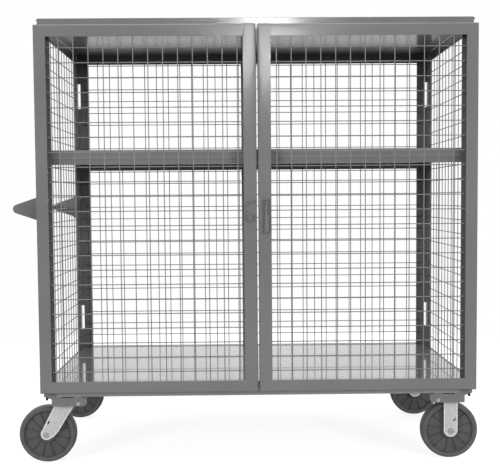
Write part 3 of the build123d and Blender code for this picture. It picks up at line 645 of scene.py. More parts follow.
DOOR_XS = [67.2 + PITCH * k for k in range(-1, 14)]
DOOR_ZS = [1456.5 - PITCH * k for k in range(-1, 24)]
REAR_XS = [672.0 - PITCH * k for k in range(-1, 14)]
REAR_ZS = [1514.5 - PITCH * k for k in range(0, 25)]
SIDE_YS = [245.0 + PITCH * k for k in range(-3, 11)]
DOOR_UP = -1.5 + WR
REAR_UP = 816.5 - WR
SIDE_UP = 756.0 - WR
for sx, side_name in ((1, "right"), (-1, "left")):
    ends = []
    for z in DOOR_ZS:
        ends += [((sx * 10.5, 1.0, z), (3.4, 2.4, 2.4)),
                 ((sx * 733.0, 1.0, z), (3.4, 2.4, 2.4))]
    for x in DOOR_XS:
        ends += [((sx * x, -0.4, 281.5), (2.3, 1.6, 3.2)),
                 ((sx * x, -0.4, 1513.5), (2.3, 1.6, 3.2))]
    wire_panel(
        f"door_wires_{side_name}", f"door_mesh_{side_name}", DOOR_XS, DOOR_ZS,
        lambda x: ((sx * x, DOOR_UP, 279.0), (sx * x, DOOR_UP, 1516.5)),
        lambda z: ((sx * 8.0, DOOR_UP + 2 * WR, z), (sx * 736.0, DOOR_UP + 2 * WR, z)),
        lambda x, z: ((sx * x, DOOR_UP + WR, z), (2.2, 1.8, 2.2)), ends)
    ends = []
    for z in REAR_ZS:
        ends += [((sx * 733.0, 814.6, z), (3.2, 1.9, 2.3))]
        if sx < 0:
            ends += [((-5.0, 814.6, z), (3.4, 1.9, 2.3)), ((-45.0, 814.6, z), (3.0, 1.7, 2.1))]
        else:
            ends += [((4.0, 814.6, z), (3.2, 1.9, 2.3))]
    wire_panel(
        f"rear_wires_{side_name}", f"back_mesh_{side_name}", REAR_XS, REAR_ZS,
        lambda x: ((sx * x, REAR_UP, 293.4), (sx * x, REAR_UP, 1527.0)),
        lambda z: ((sx * 0.5, REAR_UP - 2 * WR, z), (sx * 735.0, REAR_UP - 2 * WR, z)),
        lambda x, z: ((sx * x, REAR_UP - WR, z), (2.2, 1.8, 2.2)), ends)
    ends = []
    for z in REAR_ZS:
        ends += [((sx * 753.6, 90.5, z), (1.9, 3.2, 2.3)),
                 ((sx * 753.6, 762.0, z), (1.9, 3.2, 2.3))]
    wire_panel(
        f"side_wires_{side_name}", f"side_mesh_{side_name}", SIDE_YS, REAR_ZS,
        lambda y: ((sx * SIDE_UP, y, 293.4), (sx * SIDE_UP, y, 1527.0)),
        lambda z: ((sx * (SIDE_UP - 2 * WR), 87.0, z), (sx * (SIDE_UP - 2 * WR), 766.0, z)),
        lambda y, z: ((sx * (SIDE_UP - WR), y, z), (1.8, 2.2, 2.2)), ends)

# ---------------------------------------------------------------------------
# Door frames: hinge stile and rails in one formed ring, a full-height meeting
# stile welded across their ends
# ---------------------------------------------------------------------------
T, BR, Y0, Y1 = 2.5, 6.0, -4.0, 34.0


def bend_section(inner):
    """Half section from the face's cut edge round the bend to the flange and back."""
    s = [(inner, -0.0, -2.0), (inner, 0.0, -3.5), (inner, -0.5, -4.0)]
    s += [("u", BR - BR * sin(radians(a)), Y0 + BR - BR * cos(radians(a)))
          for a in (0, 11.25, 22.5, 33.75, 45, 56.25, 67.5, 78.75, 90)]
    s += [("u", 0.0, Y1 - 0.5), ("u", 0.5, Y1), ("u", T - 0.5, Y1), ("u", T, Y1 - 0.5)]
    s += [("u", BR - (BR - T) * sin(radians(a)), Y0 + BR - (BR - T) * cos(radians(a)))
          for a in (90, 67.5, 45, 22.5, 0)]
    s += [(inner, -0.5, -1.5)]
    return s


def door_ring(z0, z1, win0, win1):
    """Hinge stile and the two rails, X to the right, open at the meeting side."""
    s = Shape()
    rings = []
    for kind, u, y in bend_section("in"):
        if kind == "in":
            ux, ub, ut = 42.0 + u, win0 - z0 + u, z1 - win1 + u
        else:
            ux = ub = ut = u
        path = [(48.0, z0 + ub), (400.0, z0 + ub), (762.0 - ux, z0 + ub)]
        steps = 12
        path += [(762.0 - ux, z0 + ub + (z1 - ut - z0 - ub) * i / steps)
                 for i in range(1, steps)]
        path += [(762.0 - ux, z1 - ut), (400.0, z1 - ut), (48.0, z1 - ut)]
        rings.append([(x, y, z) for x, z in path])
    n, count = len(rings[0]), len(rings)
    faces = []
    for i in range(count):
        a, b = i * n, ((i + 1) % count) * n
        for j in range(n - 1):
            faces.append((a + j, a + j + 1, b + j + 1, b + j))
    faces.append(tuple(i * n for i in range(count)))
    faces.append(tuple(i * n + n - 1 for i in range(count))[::-1])
    s.add([p for r in rings for p in r], faces)
    return s


def meeting_stile(z0, z1):
    """Full-height member with rounded ends, face 45 wide, bent back on three sides."""
    s = Shape()
    section = [("u", BR - BR * sin(radians(a)), Y0 + BR - BR * cos(radians(a)))
               for a in (0, 11.25, 22.5, 33.75, 45, 56.25, 67.5, 78.75, 90)]
    section += [("u", 0.0, Y1 - 0.5), ("u", 0.5, Y1), ("u", T - 0.5, Y1),
                ("u", T, Y1 - 0.5)]
    section += [("u", BR - (BR - T) * sin(radians(a)),
                 Y0 + BR - (BR - T) * cos(radians(a))) for a in (90, 67.5, 45, 22.5, 0)]
    rc = 6.5
    rings = []
    for _, u, y in section:
        path = [(47.5, z0 + u)]
        k = rc - u
        path += [(2.5 + rc - k * sin(radians(a)), z0 + rc - k * cos(radians(a)))
                 for a in (0, 22.5, 45, 67.5, 90)]
        path += [(2.5 + rc - k * cos(radians(a)), z1 - rc + k * sin(radians(a)))
                 for a in (0, 22.5, 45, 67.5, 90)]
        path += [(47.5, z1 - u)]
        rings.append([(x, y, z) for x, z in path])
    n, count = len(rings[0]), len(rings)
    faces = []
    for i in range(count - 1):
        a, b = i * n, (i + 1) * n
        for j in range(n - 1):
            faces.append((a + j, a + j + 1, b + j + 1, b + j))
    last = (count - 1) * n
    faces.append(tuple(range(n))[::-1])
    faces.append(tuple(last + j for j in range(n)))
    faces.append((0, n - 1, last + n - 1, last))
    faces.append(tuple(i * n for i in range(count)))
    faces.append(tuple(i * n + n - 1 for i in range(count))[::-1])
    s.add([p for r in rings for p in r], faces)
    return s


HINGE_Z = (369.7, 1332.7)
HINGE_L = 104.6
SLOT_Z = (369.0, 1332.0)


def door_frame(side_name, sx, top, lumps):
    ring_s = door_ring(264.5, 1534.5, 306.0, 1493.0)
    stile = meeting_stile(263.4, top)
    welds = Shape()
    for z, length in lumps:
        welds.bead((47.8, -4.2, z - length / 2), (47.8, -4.2, z + length / 2), 2.3, 0.6, 0)
    for z in (282.0, 300.0):
        welds.bead((47.8, -4.1, z - 5), (47.8, -4.1, z + 5), 2.1, 0.55, 0)
    if sx < 0:
        for x, z in ((719.5, 1033.0), (719.0, 939.0), (727.5, 932.0), (723.5, 950.0)):
            welds.ball((x, -4.0, z), (2.6, 0.7, 3.4), 10, 6)
    # inner side and top: longer runs nobody ground off
    welds.bead((48.0, -1.6, 268.0), (48.0, -1.6, 304.0), 2.2, 0.8, 0)
    welds.bead((48.0, -1.6, 1495.0), (48.0, -1.6, 1530.0), 2.2, 0.8, 0)
    welds.bead((47.8, 4.0, 1534.9), (47.8, 26.0, 1534.9), 1.9, 1.0, 0)
    welds.bead((47.8, 4.0, 264.2), (47.8, 26.0, 264.2), 1.9, 1.0, 0)
    if sx < 0:
        ring_s, stile, welds = ring_s.mirrored(), stile.mirrored(), welds.mirrored()
    cuts = []
    for z in SLOT_Z:
        a, b = sorted((sx * 758.2, sx * 764.0))
        cuts.append(((a, 30.5, z), (b, 36.0, z + 106.0)))
    ring_o = piece(ring_s, f"door_ring_{side_name}", [f"door_frame_{side_name}"],
                   GREY, cuts=cuts)
    body = BODY_OF[f"door_frame_{side_name}"]
    piece(stile, f"door_stile_{side_name}", [], GREY, body=body)
    piece(welds, f"door_welds_{side_name}", [], BEADM, body=body, angle=70)
    return ring_o


door_frame("right", 1, 1536.3, [(1512.5, 5), (1494.0, 7), (1466.0, 3)])
door_frame("left", -1, 1537.4, [(1512.5, 5), (1498.0, 5)])

# ---------------------------------------------------------------------------
# Hinges
# ---------------------------------------------------------------------------
HX, HY, KR = 762.3, 36.75, 5.0
KNUCKLES = ((0.0, 31.5), (31.8, 72.8), (73.1, HINGE_L))


def knuckle(s, z0, z1, bore):
    s.revolve([(bore, z0 + 0.4), (bore + 0.4, z0), (KR - 0.6, z0), (KR, z0 + 0.6),
               (KR, z1 - 0.6), (KR - 0.6, z1), (bore + 0.4, z1), (bore, z1 - 0.4)],
              (HX, HY, 0), "z", 32)


for sx, side_name in ((1, "right"), (-1, "left")):
    s = Shape()
    w = Shape()
    for z0 in HINGE_Z:
        for a, b in (KNUCKLES[0], KNUCKLES[2]):
            knuckle(s, z0 + a, z0 + b, 2.8)
            s.prism(rounded([(753.8, 46.5), (753.8, 55.0), (756.0, 55.0), (756.0, 49.8),
                             (761.6, 41.3), (759.2, 39.4)], [1, 0, 0, 3, 0, 0]),
                    xy, z0 + a, z0 + b, 0.35)
        s.plate(rect(55.0, z0, 82.0, z0 + HINGE_L, 2.0), [], yz, 753.8, 756.0, 0.4)
        w.bead((753.3, 82.4, z0 + 4), (753.3, 82.4, z0 + HINGE_L - 4), 1.7, 1.0)
    d = Shape()
    for z0 in HINGE_Z:
        d.plate(rect(6.0, z0, 30.5, z0 + HINGE_L, 2.0), [], yz, 757.3, 759.5, 0.4)
        a, b = KNUCKLES[1]
        knuckle(d, z0 + a, z0 + b, 2.82)
        d.prism(rounded([(757.3, 29.5), (759.5, 29.5), (759.8, 33.0), (761.5, 33.4),
                         (758.4, 35.6), (757.3, 34.0)], [0, 0, 2, 0, 0, 1]),
                xy, z0 + a, z0 + b, 0.35)
        w2 = d
        w2.bead((756.9, 5.6, z0 + 4), (756.9, 5.6, z0 + HINGE_L - 4), 1.6, 1.0)
    if sx < 0:
        s, d, w = s.mirrored(), d.mirrored(), w.mirrored()
    s.join(w)
    piece(s, f"hinge_fixed_{side_name}", [f"hinge_post_leaves_{side_name}"],
          GREY)
    piece(d, f"hinge_moving_{side_name}", [f"hinge_door_leaves_{side_name}"],
          GREY)
s = Shape()
for sx in (-1, 1):
    for z0 in HINGE_Z:
        s.revolve([(1.6, 0.0), (2.75, 0.9), (2.75, HINGE_L - 0.9), (1.6, HINGE_L)],
                  (sx * HX, HY, z0), "z", 24, closed=False)
piece(s, "hinge_pin_bars", ["hinge_pins"], BOLT)

# ---------------------------------------------------------------------------
# Latch
# ---------------------------------------------------------------------------
LX, LY, RR_ = 29.8, -14.0, 4.5


def tube_z(s, x, y, z0, z1, r_in, r_out, n=48):
    s.revolve([(r_in, z0 + 0.7), (r_in + 0.7, z0), (r_out - 0.8, z0), (r_out, z0 + 0.8),
               (r_out, z1 - 0.8), (r_out - 0.8, z1), (r_in + 0.7, z1), (r_in, z1 - 0.7)],
              (x, y, 0), "z", n)


s = Shape()
s.plate(rect(8.0, 819.0, 38.0, 884.0, 3.0), [], xz, -6.5, -4.0, 0.5)
tube_z(s, LX, LY, 821.0, 881.5, RR_ + 0.1, 8.0)
for x in (LX - 5.0, LX + 5.0):
    s.bead((x, -7.1, 825.0), (x, -7.1, 877.0), 1.9, 0.9, 1)
s.bead((8.0, -5.2, 824.0), (8.0, -5.2, 834.0), 1.7, 0.9, 1)
s.bead((8.0, -5.2, 868.0), (8.0, -5.2, 879.0), 1.7, 0.9, 1)
piece(s, "latch_guide", ["latch_sleeve"], [GREY, BEADM])

KX = LX - 55.3
s = Shape()
s.plate(rect(KX - 13.5, 856.0, KX + 13.5, 890.0, 3.0), [], xz, -6.5, -4.0, 0.5)
tube_z(s, KX, LY, 864.0, 884.0, RR_ + 0.9, 8.2)
for x in (KX - 5.2, KX + 5.2):
    s.bead((x, -7.0, 866.5), (x, -7.0, 881.5), 1.8, 0.9, 1)
piece(s, "latch_socket", ["latch_keeper"], [GREY, BEADM])

LIFT, SWING = 20.0, 65.0
s = Shape()
s.revolve([(RR_ + 0.06, 0.3), (RR_ + 0.4, 0.0), (6.6, 0.0), (7.2, 0.6), (7.2, 2.4),
           (6.6, 3.0), (RR_ + 0.4, 3.0), (RR_ + 0.06, 2.7)],
          (LX, LY, 881.8 + LIFT), "z", 48)
piece(s, "latch_ring", ["latch_collar"], LATCHM)

top_z = 919.7 - RR_ + LIFT
dx, dy = -cos(radians(SWING)), -sin(radians(SWING))
tip = (LX + 55.3 * dx, LY + 55.3 * dy)
path = [(LX, LY, 812.0 + LIFT), (LX, LY, 860.0 + LIFT), (LX, LY, 900.0 + LIFT)]
for i in range(1, 9):
    a = radians(90.0 * i / 8)
    k = 9.0 * (1 - cos(a))
    path.append((LX + dx * k, LY + dy * k, top_z - 9.0 + 9.0 * sin(a)))
path.insert(3, (LX, LY, top_z - 9.0))
for i in range(0, 9):
    a = radians(90.0 * i / 8)
    k = 55.3 - 9.0 + 9.0 * sin(a)
    path.append((LX + dx * k, LY + dy * k, top_z - 9.0 + 9.0 * cos(a)))
path.append((tip[0], tip[1], 868.0 + LIFT))
s = Shape()
s.sweep(path, RR_, 24)
s.revolve([(RR_ - 0.4, -0.2), (5.6, 0.0), (6.2, 0.7), (6.2, 1.5), (5.6, 2.2),
           (RR_ - 0.4, 2.4)], (LX, LY, 885.1 + LIFT), "z", 32, mat=1)
piece(s, "latch_hook", ["latch_rod"], [GREY, BEADM])

# ---------------------------------------------------------------------------
# Push handle
# ---------------------------------------------------------------------------
TX, TZ = -848.0, 907.5
nose = arc(TX, TZ, 16.0, 108.0, 252.0, 18)
horn = [(-759.0, 955.0), (-775.0, 955.0), (-783.0, 946.5)] + nose + \
       [(-783.0, 868.5), (-775.0, 860.0), (-759.0, 860.0)]
for tag, p0, p1, f0, f1, by in (("front", 84.0, 88.0, 52.0, 88.0, 70.0),
                                ("rear", 771.0, 775.0, 771.0, 807.0, 789.0)):
    s = Shape()
    s.plate(horn, [], xz, p0, p1, 0.6)
    s.plate(rect(f0, 855.0, f1, 960.0, 6.0),
            [circle(by, z, 4.2, 20) for z in (866.8, 944.8)], yz, -763.0, -759.0, 0.6)
    # inside of the bend, where the horn meets its flange
    cy, sgn = (p0, -1) if tag == "front" else (p1, 1)
    fil = [(-763.0, cy), (-769.0, cy)] + \
          [(-769.0 + 6.0 * sin(radians(a)), cy + sgn * (6.0 - 6.0 * cos(radians(a))))
           for a in (15, 30, 45, 60, 75)] + [(-763.0, cy + sgn * 6.0)]
    s.prism(fil, xy, 862.0, 953.0, 0.0)
    yy = 88.0 if tag == "front" else 771.0
    back = 1 if tag == "front" else -1
    for i in range(40):
        a = 2 * pi * i / 40
        k = 1.0 + 0.14 * sin(i * 2.399)
        s.ball((TX + 13.2 * cos(a), yy + back * 0.9, TZ + 13.2 * sin(a)),
               (1.9 * k, 1.7 * k, 1.9 * k), 7, 5, 1)
    piece(s, f"handle_horn_{tag}", [f"handle_bracket_{tag}"], [HORNM, BEADM])
s = Shape()
s.revolve([(10.7, 88.3), (12.7, 88.3), (12.7, 200.0), (12.7, 430.0), (12.7, 660.0),
           (12.7, 770.7), (10.7, 770.7)], (TX, 0, TZ), "y", 64)
piece(s, "handle_bar", ["handle_tube"], GREY)
s = Shape()
for by in (70.0, 789.0):
    for z in (866.8, 944.8):
        c = (-763.0, by, z)
        s.hexagon(c, "x", 13.0, -5.0, 8.0)
        s.revolve([(3.9, -0.0), (8.0, -0.0), (8.3, -0.3), (8.3, -0.9), (8.0, -1.2),
                   (3.9, -1.2)], c, "x", 32)
        s.rod(c, (-747.0, by, z), 4.0, 20)
        s.hexagon((-756.0, by, z), "x", 13.0, 6.3, 20.0)
piece(s, "handle_hex_bolts", ["handle_bolts"], BOLT)

# ---------------------------------------------------------------------------
# Screws and lip bolts
# ---------------------------------------------------------------------------
s = Shape()
for sx in (-1, 1):
    for y in (50.5, 808.5):
        s.rod((sx * 750, y, 244), (sx * 750, y, 252.5), 3.0, 16)
        s.revolve([(0.01, -7.0), (2.05, -8.0), (2.05, -12.6), (2.6, -13.0), (3.6, -13.0),
                   (4.2, -12.3), (4.2, 0.0), (0.01, 0.0)],
                  (sx * 750, y, 243.5), "z", 32)
piece(s, "socket_screws", ["corner_screws"], BLACK)

s = Shape()
for sx in (-1, 1):
    for y0, out in ((42.0, -1), (817.0, 1)):
        c = (sx * 637.7, y0, 219.5)
        s.hexagon(c, "y", 12.0, 4.6 * out, 14.0 + 9 * sx)
        s.revolve([(3.8, 0.0), (7.4, 0.0), (7.7, 0.25 * out), (7.7, 0.8 * out),
                   (7.4, 1.05 * out), (3.8, 1.05 * out)], c, "y", 32)
        s.rod((c[0], y0 + 0.5 * out, 219.5), (c[0], y0 - 12.5 * out, 219.5), 4.0, 20)
        s.hexagon((c[0], y0 - 5.0 * out, 219.5), "y", 12.0, -5.5 * out, 40.0)
piece(s, "lip_hex_bolts", ["lip_bolts"], BOLT)

s = Shape()
for sx in (-1, 1):
    for y in (65.5, 788.0):
        s.rod((sx * 739, y, 1078.0), (sx * 739, y, 1087.0), 3.0, 16)
        s.hexagon((sx * 739, y, 1077.5), "z", 10.0, -4.0, 11.0)
piece(s, "shelf_hex_screws", ["shelf_screws"], BOLT)

# ---------------------------------------------------------------------------
# Casters
# ---------------------------------------------------------------------------
CX = 690.0
CY = (110.0, 749.0)
AZ, LEG_Z = 98.1, 101.6
PB = [(dx, dy) for dx in (-33.35, 33.35) for dy in (-46.0, 46.0)]


def top_plate(s, x, y):
    s.plate(rect(x - 51, y - 57, x + 51, y + 57, 10.0, 6),
            [circle(x + a, y + b, 4.9, 20) for a, b in PB], xy, 231.5, 237.5, 0.7)


def slot_loop(cx, cz, length, width, tilt):
    r = width / 2
    h = length / 2 - r
    pts = [(h + r * cos(radians(a)), r * sin(radians(a))) for a in range(-90, 91, 30)]
    pts += [(-h - r * cos(radians(a)), -r * sin(radians(a))) for a in range(-90, 91, 30)]
    c, s = cos(radians(tilt)), sin(radians(tilt))
    return [(cx + u * c - v * s, cz + u * s + v * c) for u, v in pts]


def fork_leg(s, outline, slot, axle, ya, yb, outer):
    """A pressed leg with a raised rim round its outline; outer is +1 or -1 along Y."""
    s.plate(outline, [circle(axle[0], axle[1], 6.5, 24), slot], xz, ya, yb, 0.8)
    rim_in = inset(outline, 4.6)
    rim_out = inset(outline, 0.9)
    face = yb if outer > 0 else ya
    a, b = sorted((face - outer * 0.6, face + outer * 0.9))
    s.plate(rim_out, [rim_in], xz, a, b, 0.6, mat=1)


for tag, y in (("front", CY[0]), ("rear", CY[1])):
    s = Shape()
    top_plate(s, CX, y)
    outline = [(CX - 34, 232.0), (CX - 27.5, 219.0), (CX - 25, 208.0)]
    outline += arc(CX, LEG_Z, 25.0, 180.0, 360.0, 24)
    outline += [(CX + 25, 208.0), (CX + 27.5, 219.0), (CX + 34, 232.0)]
    for sgn in (-1, 1):
        a, b = sorted((y + sgn * 32.0, y + sgn * 37.0))
        fork_leg(s, outline, slot_loop(CX + 14, 139, 14, 5, 40), (CX, AZ), a, b, sgn)
        s.bead((CX - 33, y + sgn * 37.4, 231.4), (CX + 33, y + sgn * 37.4, 231.4), 2.6, 1.0, 1)
        s.bead((CX - 32, y + sgn * 31.6, 231.2), (CX + 32, y + sgn * 31.6, 231.2), 2.2, 1.0, 1)
    piece(s, f"rigid_yoke_{tag}", [f"rigid_fork_{tag}"], [ZINC, ZINCRIM])

    kx = -CX
    s = Shape()
    top_plate(s, kx, y)
    s.revolve([(6.6, 225.5), (26.0, 225.5), (29.0, 226.3), (30.0, 228.5), (30.0, 231.8),
               (11.1, 231.8), (11.1, 233.5), (6.6, 233.5)], (kx, y, 0), "z", 64)
    s.revolve([(30.0, 231.6), (46.5, 231.6), (46.5, 230.9), (44.0, 230.4), (38.0, 230.2),
               (30.0, 230.2)], (kx, y, 0), "z", 64, mat=1)
    piece(s, f"swivel_top_{tag}", [f"swivel_plate_{tag}"], [ZINC, ZINCRIM])

    s = Shape()
    s.revolve([(6.7, 219.0), (37.0, 219.0), (37.0, 229.9), (37.6, 230.4), (41.4, 230.4),
               (42.0, 229.8), (42.0, 217.0), (41.0, 214.4), (39.0, 213.0), (6.7, 213.0)],
              (kx, y, 0), "z", 72)
    outline = [(kx - 33, 219.0), (kx - 43.8, 197.6)]
    outline += arc(kx - 69.5, LEG_Z, 20.8, 154.3, 305.1, 18)
    outline += [(kx - 42.2, 93.8), (kx - 26.7, 111.2), (kx + 25.7, 197.6), (kx + 39.0, 219.0)]
    outline = rounded(outline, [0, 18] + [0] * 19 + [20, 20, 30, 0], 6)
    for sgn in (-1, 1):
        a, b = sorted((y + sgn * 32.0, y + sgn * 37.0))
        fork_leg(s, outline, slot_loop(kx - 61.6, 143.4, 13, 5, 62), (kx - 69.5, AZ), a, b, sgn)
        s.bead((kx - 29, y + sgn * 36.2, 219.2), (kx + 36, y + sgn * 36.2, 219.2), 1.9, 0.9, 1)
    s.plate(rect(kx - 30, y - 36.6, kx + 30, y + 36.6, 3.0), [circle(kx, y, 7.0, 24)],
            xy, 213.2, 218.8, 0.8)
    piece(s, f"swivel_yoke_{tag}", [f"swivel_fork_{tag}"], [ZINC, ZINCRIM])

s = Shape()
for y in CY:
    for x in (-CX, CX):
        for dx_, dy_ in PB:
            cx, cy = x + dx_, y + dy_
            s.hexagon((cx, cy, 243.5), "z", 14.0, 5.5, 17.0 + dx_)
            s.rod((cx, cy, 222.0), (cx, cy, 244.0), 4.75, 20, 0.2)
            s.hexagon((cx, cy, 231.5), "z", 14.0, -6.5, 5.0 - dy_)
            s.revolve([(5.0, 0.0), (9.6, 0.0), (9.9, -0.3), (9.9, -1.0), (9.6, -1.3),
                       (5.0, -1.3)], (cx, cy, 231.5), "z", 28)
piece(s, "caster_hex_bolts", ["caster_bolts"], BOLT)

s = Shape()
for y in CY:
    s.revolve([(0.01, 237.5), (8.6, 237.4), (10.6, 236.6), (11.0, 235.4), (11.0, 233.5),
               (6.5, 233.5), (6.5, 204.8), (5.6, 204.0), (0.01, 204.0)],
              (-CX, y, 0), "z", 40)
    s.hexagon((-CX, y, 212.7), "z", 19.0, -7.0, 22.0)
piece(s, "king_bolts", ["kingpins"], BOLT)


def wheel(s, x, y, phase):
    side_prof = [(15.9, 30.2), (16.7, 31.0), (24.4, 31.0), (26.6, 30.2), (28.2, 28.4),
                 (28.9, 26.5), (30.0, 19.5), (30.9, 18.0), (32.6, 17.3),
                 (76.0, 14.2), (78.6, 14.0), (79.6, 14.4), (80.4, 15.4), (82.9, 22.0),
                 (83.4, 23.0), (84.0, 23.5), (84.7, 23.4)]
    tread = [(85.4, 22.9), (86.4, 23.0), (88.4, 24.3), (90.6, 25.1), (93.0, 25.4), (95.0, 25.0),
             (96.9, 24.0), (98.6, 22.1), (99.9, 19.6), (100.8, 16.9), (101.4, 13.6),
             (101.6, 10.0), (101.6, 4.0)]
    right = side_prof + tread
    whole = [(r, h) for r, h in right] + [(r, -h) for r, h in reversed(right)]
    n = 144
    rings = []
    for r, h in whole:
        rings.append([(x + r * cos(2 * pi * i / n), y + h, AZ + r * sin(2 * pi * i / n))
                      for i in range(n)])
    count = len(rings)
    split = len(side_prof)
    verts = [p for ring_ in rings for p in ring_]
    for i in range(count):
        a, b = i * n, ((i + 1) % count) * n
        band = split - 1 <= i < count - split
        s.add([], [])
        faces = [(a + j, a + (j + 1) % n, b + (j + 1) % n, b + j) for j in range(n)]
        if i == 0:
            base = len(s.v)
            s.v += verts
        s.f += [tuple(base + k for k in f) for f in faces]
        s.m += [1 if band else 0] * len(faces)
    for k in range(12):
        t = radians(phase + 30 * k)
        c, d = cos(t), sin(t)
        for sgn in (-1, 1):
            rows = []
            # ribs are tallest at the hub and dip a little to the rim
            for r, top in ((28.6, 23.0), (31.0, 21.4), (40.0, 20.4), (52.0, 19.6),
                           (64.0, 19.2), (72.0, 19.4), (79.4, 20.2)):
                low = 12.0
                half = 1.15
                pts = [(-half - 0.35, low), (-half, low + 2.5), (-half * 0.86, top - 0.9),
                       (-half * 0.45, top), (half * 0.45, top), (half * 0.86, top - 0.9),
                       (half, low + 2.5), (half + 0.35, low)]
                rows.append([(x + r * c - u * d, y + sgn * h, AZ + r * d + u * c)
                             for u, h in pts])
            s.loft(rows)
    return s


for tag, x, y, phase in (("front_left", -759.5, 110.0, 16.5), ("rear_left", -759.5, 749.0, 16.5),
                         ("front_right", 690.0, 110.0, 18.0), ("rear_right", 690.0, 749.0, 18.0)):
    piece(wheel(Shape(), x, y, phase), f"wheel_body_{tag}", [f"wheel_{tag}"],
          [WHEEL, TREAD], angle=32)
    s = Shape()
    s.revolve([(14.0, -30.6), (15.9, -30.6), (15.9, 30.6), (14.0, 30.6)], (x, y, AZ), "y", 48)
    for i in range(14):
        t = 2 * pi * i / 14
        c = (x + 11.8 * cos(t), AZ + 11.8 * sin(t))
        s.rod((c[0], y - 29.2, c[1]), (c[0], y + 29.2, c[1]), 2.15, 10)
    for h in (-30.2, 30.2):
        s.revolve([(9.7, h - 0.7), (13.9, h - 0.7), (13.9, h + 0.7), (9.7, h + 0.7)],
                  (x, y, AZ), "y", 48)
    piece(s, f"roller_set_{tag}", [f"wheel_bearing_{tag}"], BEARING)

for tag, places in (("swivel_front", [(-759.5, 110.0)]), ("swivel_rear", [(-759.5, 749.0)]),
                    ("rigid", [(690.0, 110.0), (690.0, 749.0)])):
    s, b = Shape(), Shape()
    for x, y in places:
        s.revolve([(6.45, -31.7), (9.2, -31.9), (9.5, -31.5), (9.5, 31.5), (9.2, 31.9),
                   (6.45, 31.7)], (x, y, AZ), "y", 40)
        c = (x, y - 37.0, AZ)
        if tag == "rigid":
            b.revolve([(0.01, -1.0), (9.0, -0.9), (9.4, -0.2), (6.3, 0.2), (6.3, 85.6),
                       (5.5, 86.4), (0.01, 86.5)], c, "y", 48)
            b.plate(circle(x, AZ, 9.5, 40), [circle(x - 5.4, AZ, 2.1, 14),
                                             circle(x + 5.4, AZ, 2.1, 14)],
                    xz, c[1] - 3.5, c[1] - 0.9, 0.5)
        else:
            b.revolve([(0.01, -3.5), (4.4, -3.3), (5.6, -2.6), (6.4, -2.5), (7.4, -3.4),
                       (8.6, -3.1), (9.4, -1.8), (9.5, -0.1), (6.3, 0.2), (6.3, 85.6),
                       (5.5, 86.4), (0.01, 86.5)], c, "y", 48)
        b.hexagon((x, y + 37.0, AZ), "y", 19.0, 10.5, 12.0)
        b.revolve([(6.4, 0.0), (11.2, 0.0), (11.5, 0.4), (11.5, 1.2), (11.2, 1.6),
                   (6.4, 1.6)], (x, y + 37.0, AZ), "y", 40)
    piece(s, f"spanner_{tag}", [f"axle_bushing_{tag}"], BEARING)
    piece(b, f"axle_{tag}", [f"axle_bolt_{tag}"], AXLEM)

# ---------------------------------------------------------------------------
# Welds that hold the body together
# ---------------------------------------------------------------------------
s = Shape()
for sx in (-1, 1):
    for y in (38.5, 820.5):
        # roof corners, tacked to the heads of the posts
        s.bead((sx * 749.0, y - (1.6 if y < 100 else -1.6), 1538.0),
               (sx * 741.0, y - (1.6 if y < 100 else -1.6), 1533.5), 1.5, 0.8)
    for y in (41.0, 818.0):
        s.bead((sx * 722.0, y + (2.6 if y < 100 else -2.6), 293.6),
               (sx * 752.0, y + (2.6 if y < 100 else -2.6), 293.6), 1.7, 1.0)
for z in (300.0, 560.0, 820.0, 1040.0, 1300.0, 1522.0):
    s.bead((-51.2, 816.2, z), (-51.2, 816.2, z + 12), 1.3, 0.9)
piece(s, "body_welds", [], BEADM, body="cart_frame", angle=70)

# tabs folded behind the corner reliefs of the roof's rear skirt
s = Shape()
s.prism(rect(752.4, 1540.6, 758.7, 1557.0), xz, 818.2, 819.8, 0.3)
s.prism(rect(796.8, 1540.6, 818.0, 1557.0), yz, 757.2, 758.7, 0.3)
s.join(s.mirrored())
piece(s, "roof_corner_tabs", [], SHEETM, body="cart_frame")

# ---------------------------------------------------------------------------
# Floor, light and camera
# ---------------------------------------------------------------------------
fm, ft, fb, fco = nodes_of("studio_floor")
ft.links.new(mix(ft, remap(ft, noise(ft, fco, 1.3, 3.0), 0.0, 1.0),
                 (0.30, 0.30, 0.298), (0.32, 0.32, 0.318)), fb.inputs["Base Color"])
fb.inputs["Roughness"].default_value = 0.9
fb.inputs["Specular IOR Level"].default_value = 0.1
fb.inputs["Emission Color"].default_value = (1.0, 1.0, 0.995, 1)
seen = ft.nodes.new("ShaderNodeLightPath")
glow = ft.nodes.new("ShaderNodeMapRange")
glow.inputs["To Min"].default_value = FLOOR_BOUNCE
glow.inputs["To Max"].default_value = FLOOR_GLOW
ft.links.new(seen.outputs["Is Camera Ray"], glow.inputs["Value"])
ft.links.new(glow.outputs["Result"], fb.inputs["Emission Strength"])
me = bpy.data.meshes.new("floor")
disc = [(2.9 * cos(2 * pi * i / 96), 2.9 * sin(2 * pi * i / 96), 0.0) for i in range(96)]
me.from_pydata(disc, [], [tuple(range(96))])
me.materials.append(fm)
floor = bpy.data.objects.new("floor", me)
bpy.context.scene.collection.objects.link(floor)

world = bpy.data.worlds.new("studio")
bpy.context.scene.world = world
world.use_nodes = True
wt = world.node_tree
bg = wt.nodes["Background"]
bg.inputs["Strength"].default_value = 1.0
wco = wt.nodes.new("ShaderNodeTexCoord")
wsep = wt.nodes.new("ShaderNodeSeparateXYZ")
wt.links.new(wco.outputs["Generated"], wsep.inputs["Vector"])


def ramp(value, lo, hi, a, b):
    r = wt.nodes.new("ShaderNodeMapRange")
    r.interpolation_type = "SMOOTHSTEP"
    for key, val in (("From Min", lo), ("From Max", hi), ("To Min", a), ("To Max", b)):
        if hasattr(val, "is_output"):
            wt.links.new(val, r.inputs[key])
        else:
            r.inputs[key].default_value = val
    wt.links.new(value, r.inputs["Value"])
    return r.outputs["Result"]


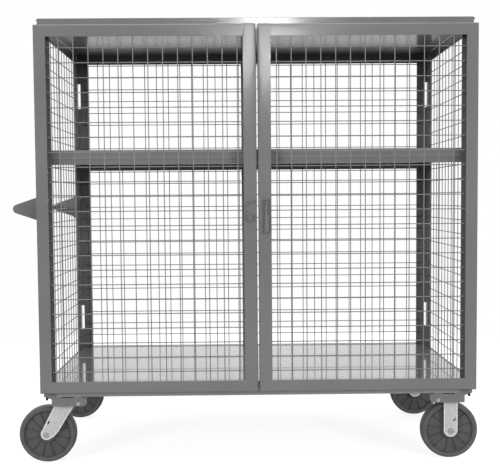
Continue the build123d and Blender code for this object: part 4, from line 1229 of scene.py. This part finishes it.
# a white sweep behind, bright walls in front from about knee height up, a
# dim room low down; the picture's own background stays plain white
front = ramp(wsep.outputs["Z"], -0.10, 0.12, ROOM_LOW, ROOM_HIGH)
room = ramp(wsep.outputs["Y"], -0.10, 0.45, front, ROOM_BACK)
path = wt.nodes.new("ShaderNodeLightPath")
seen = ramp(path.outputs["Is Camera Ray"], 0.0, 1.0, room, 1.0)
tone = wt.nodes.new("ShaderNodeCombineColor")
for ch in ("Red", "Green", "Blue"):
    wt.links.new(seen, tone.inputs[ch])
wt.links.new(tone.outputs["Color"], bg.inputs["Color"])


def softbox(name, at, aim, size, power, colour=(1, 1, 1), spread=180.0):
    d = bpy.data.lights.new(name, "AREA")
    d.shape = "RECTANGLE"
    d.spread = radians(spread)
    d.size, d.size_y = size
    d.energy = power
    d.color = colour
    ob = bpy.data.objects.new(name, d)
    ob.location = at
    ob.rotation_mode = "QUATERNION"
    ob.rotation_quaternion = (Vector(aim) - Vector(at)).to_track_quat("-Z", "Y")
    bpy.context.scene.collection.objects.link(ob)
    return ob


softbox("overhead", (0.0, -0.4, 4.2), (0.0, 0.1, 0.0), (3.4, 2.6), 60)
for side_name, sx in (("left", -1), ("right", 1)):
    # soft side light that leaves no hot patch on the level sheets
    softbox(f"fill_{side_name}", (sx * 3.9, -4.9, 2.0), (0.0, 0.1, 0.8), (2.0, 1.6),
            235).visible_glossy = False
softbox("top_glint", (0.19, -4.0, 2.27), (0.05, -0.38, 1.56), (0.30, 0.36), 0.15,
        spread=12.0)

scene = bpy.context.scene
cam_data = bpy.data.cameras.new("camera")
cam = bpy.data.objects.new("camera", cam_data)
scene.collection.objects.link(cam)
yaw, pitch = radians(0.7137), radians(3.2551)
fwd = Vector((sin(yaw) * cos(pitch), cos(yaw) * cos(pitch), -sin(pitch)))
right0 = Vector((cos(yaw), -sin(yaw), 0.0))
up0 = right0.cross(fwd)
roll = radians(-0.4337)
rightv = right0 * cos(roll) + up0 * sin(roll)
upv = up0 * cos(roll) - right0 * sin(roll)
rot = Matrix((rightv, upv, -fwd)).transposed()
cam.matrix_world = Matrix.Translation((-0.02915, -3.40409, 0.9429)) @ rot.to_4x4()
cam_data.sensor_fit = "HORIZONTAL"
cam_data.sensor_width = 36.0
cam_data.lens = 63.11
cam_data.shift_y = 0.0222
cam_data.clip_end = 200.0
scene.camera = cam
scene.view_settings.view_transform = "Standard"
scene.view_settings.look = "None"
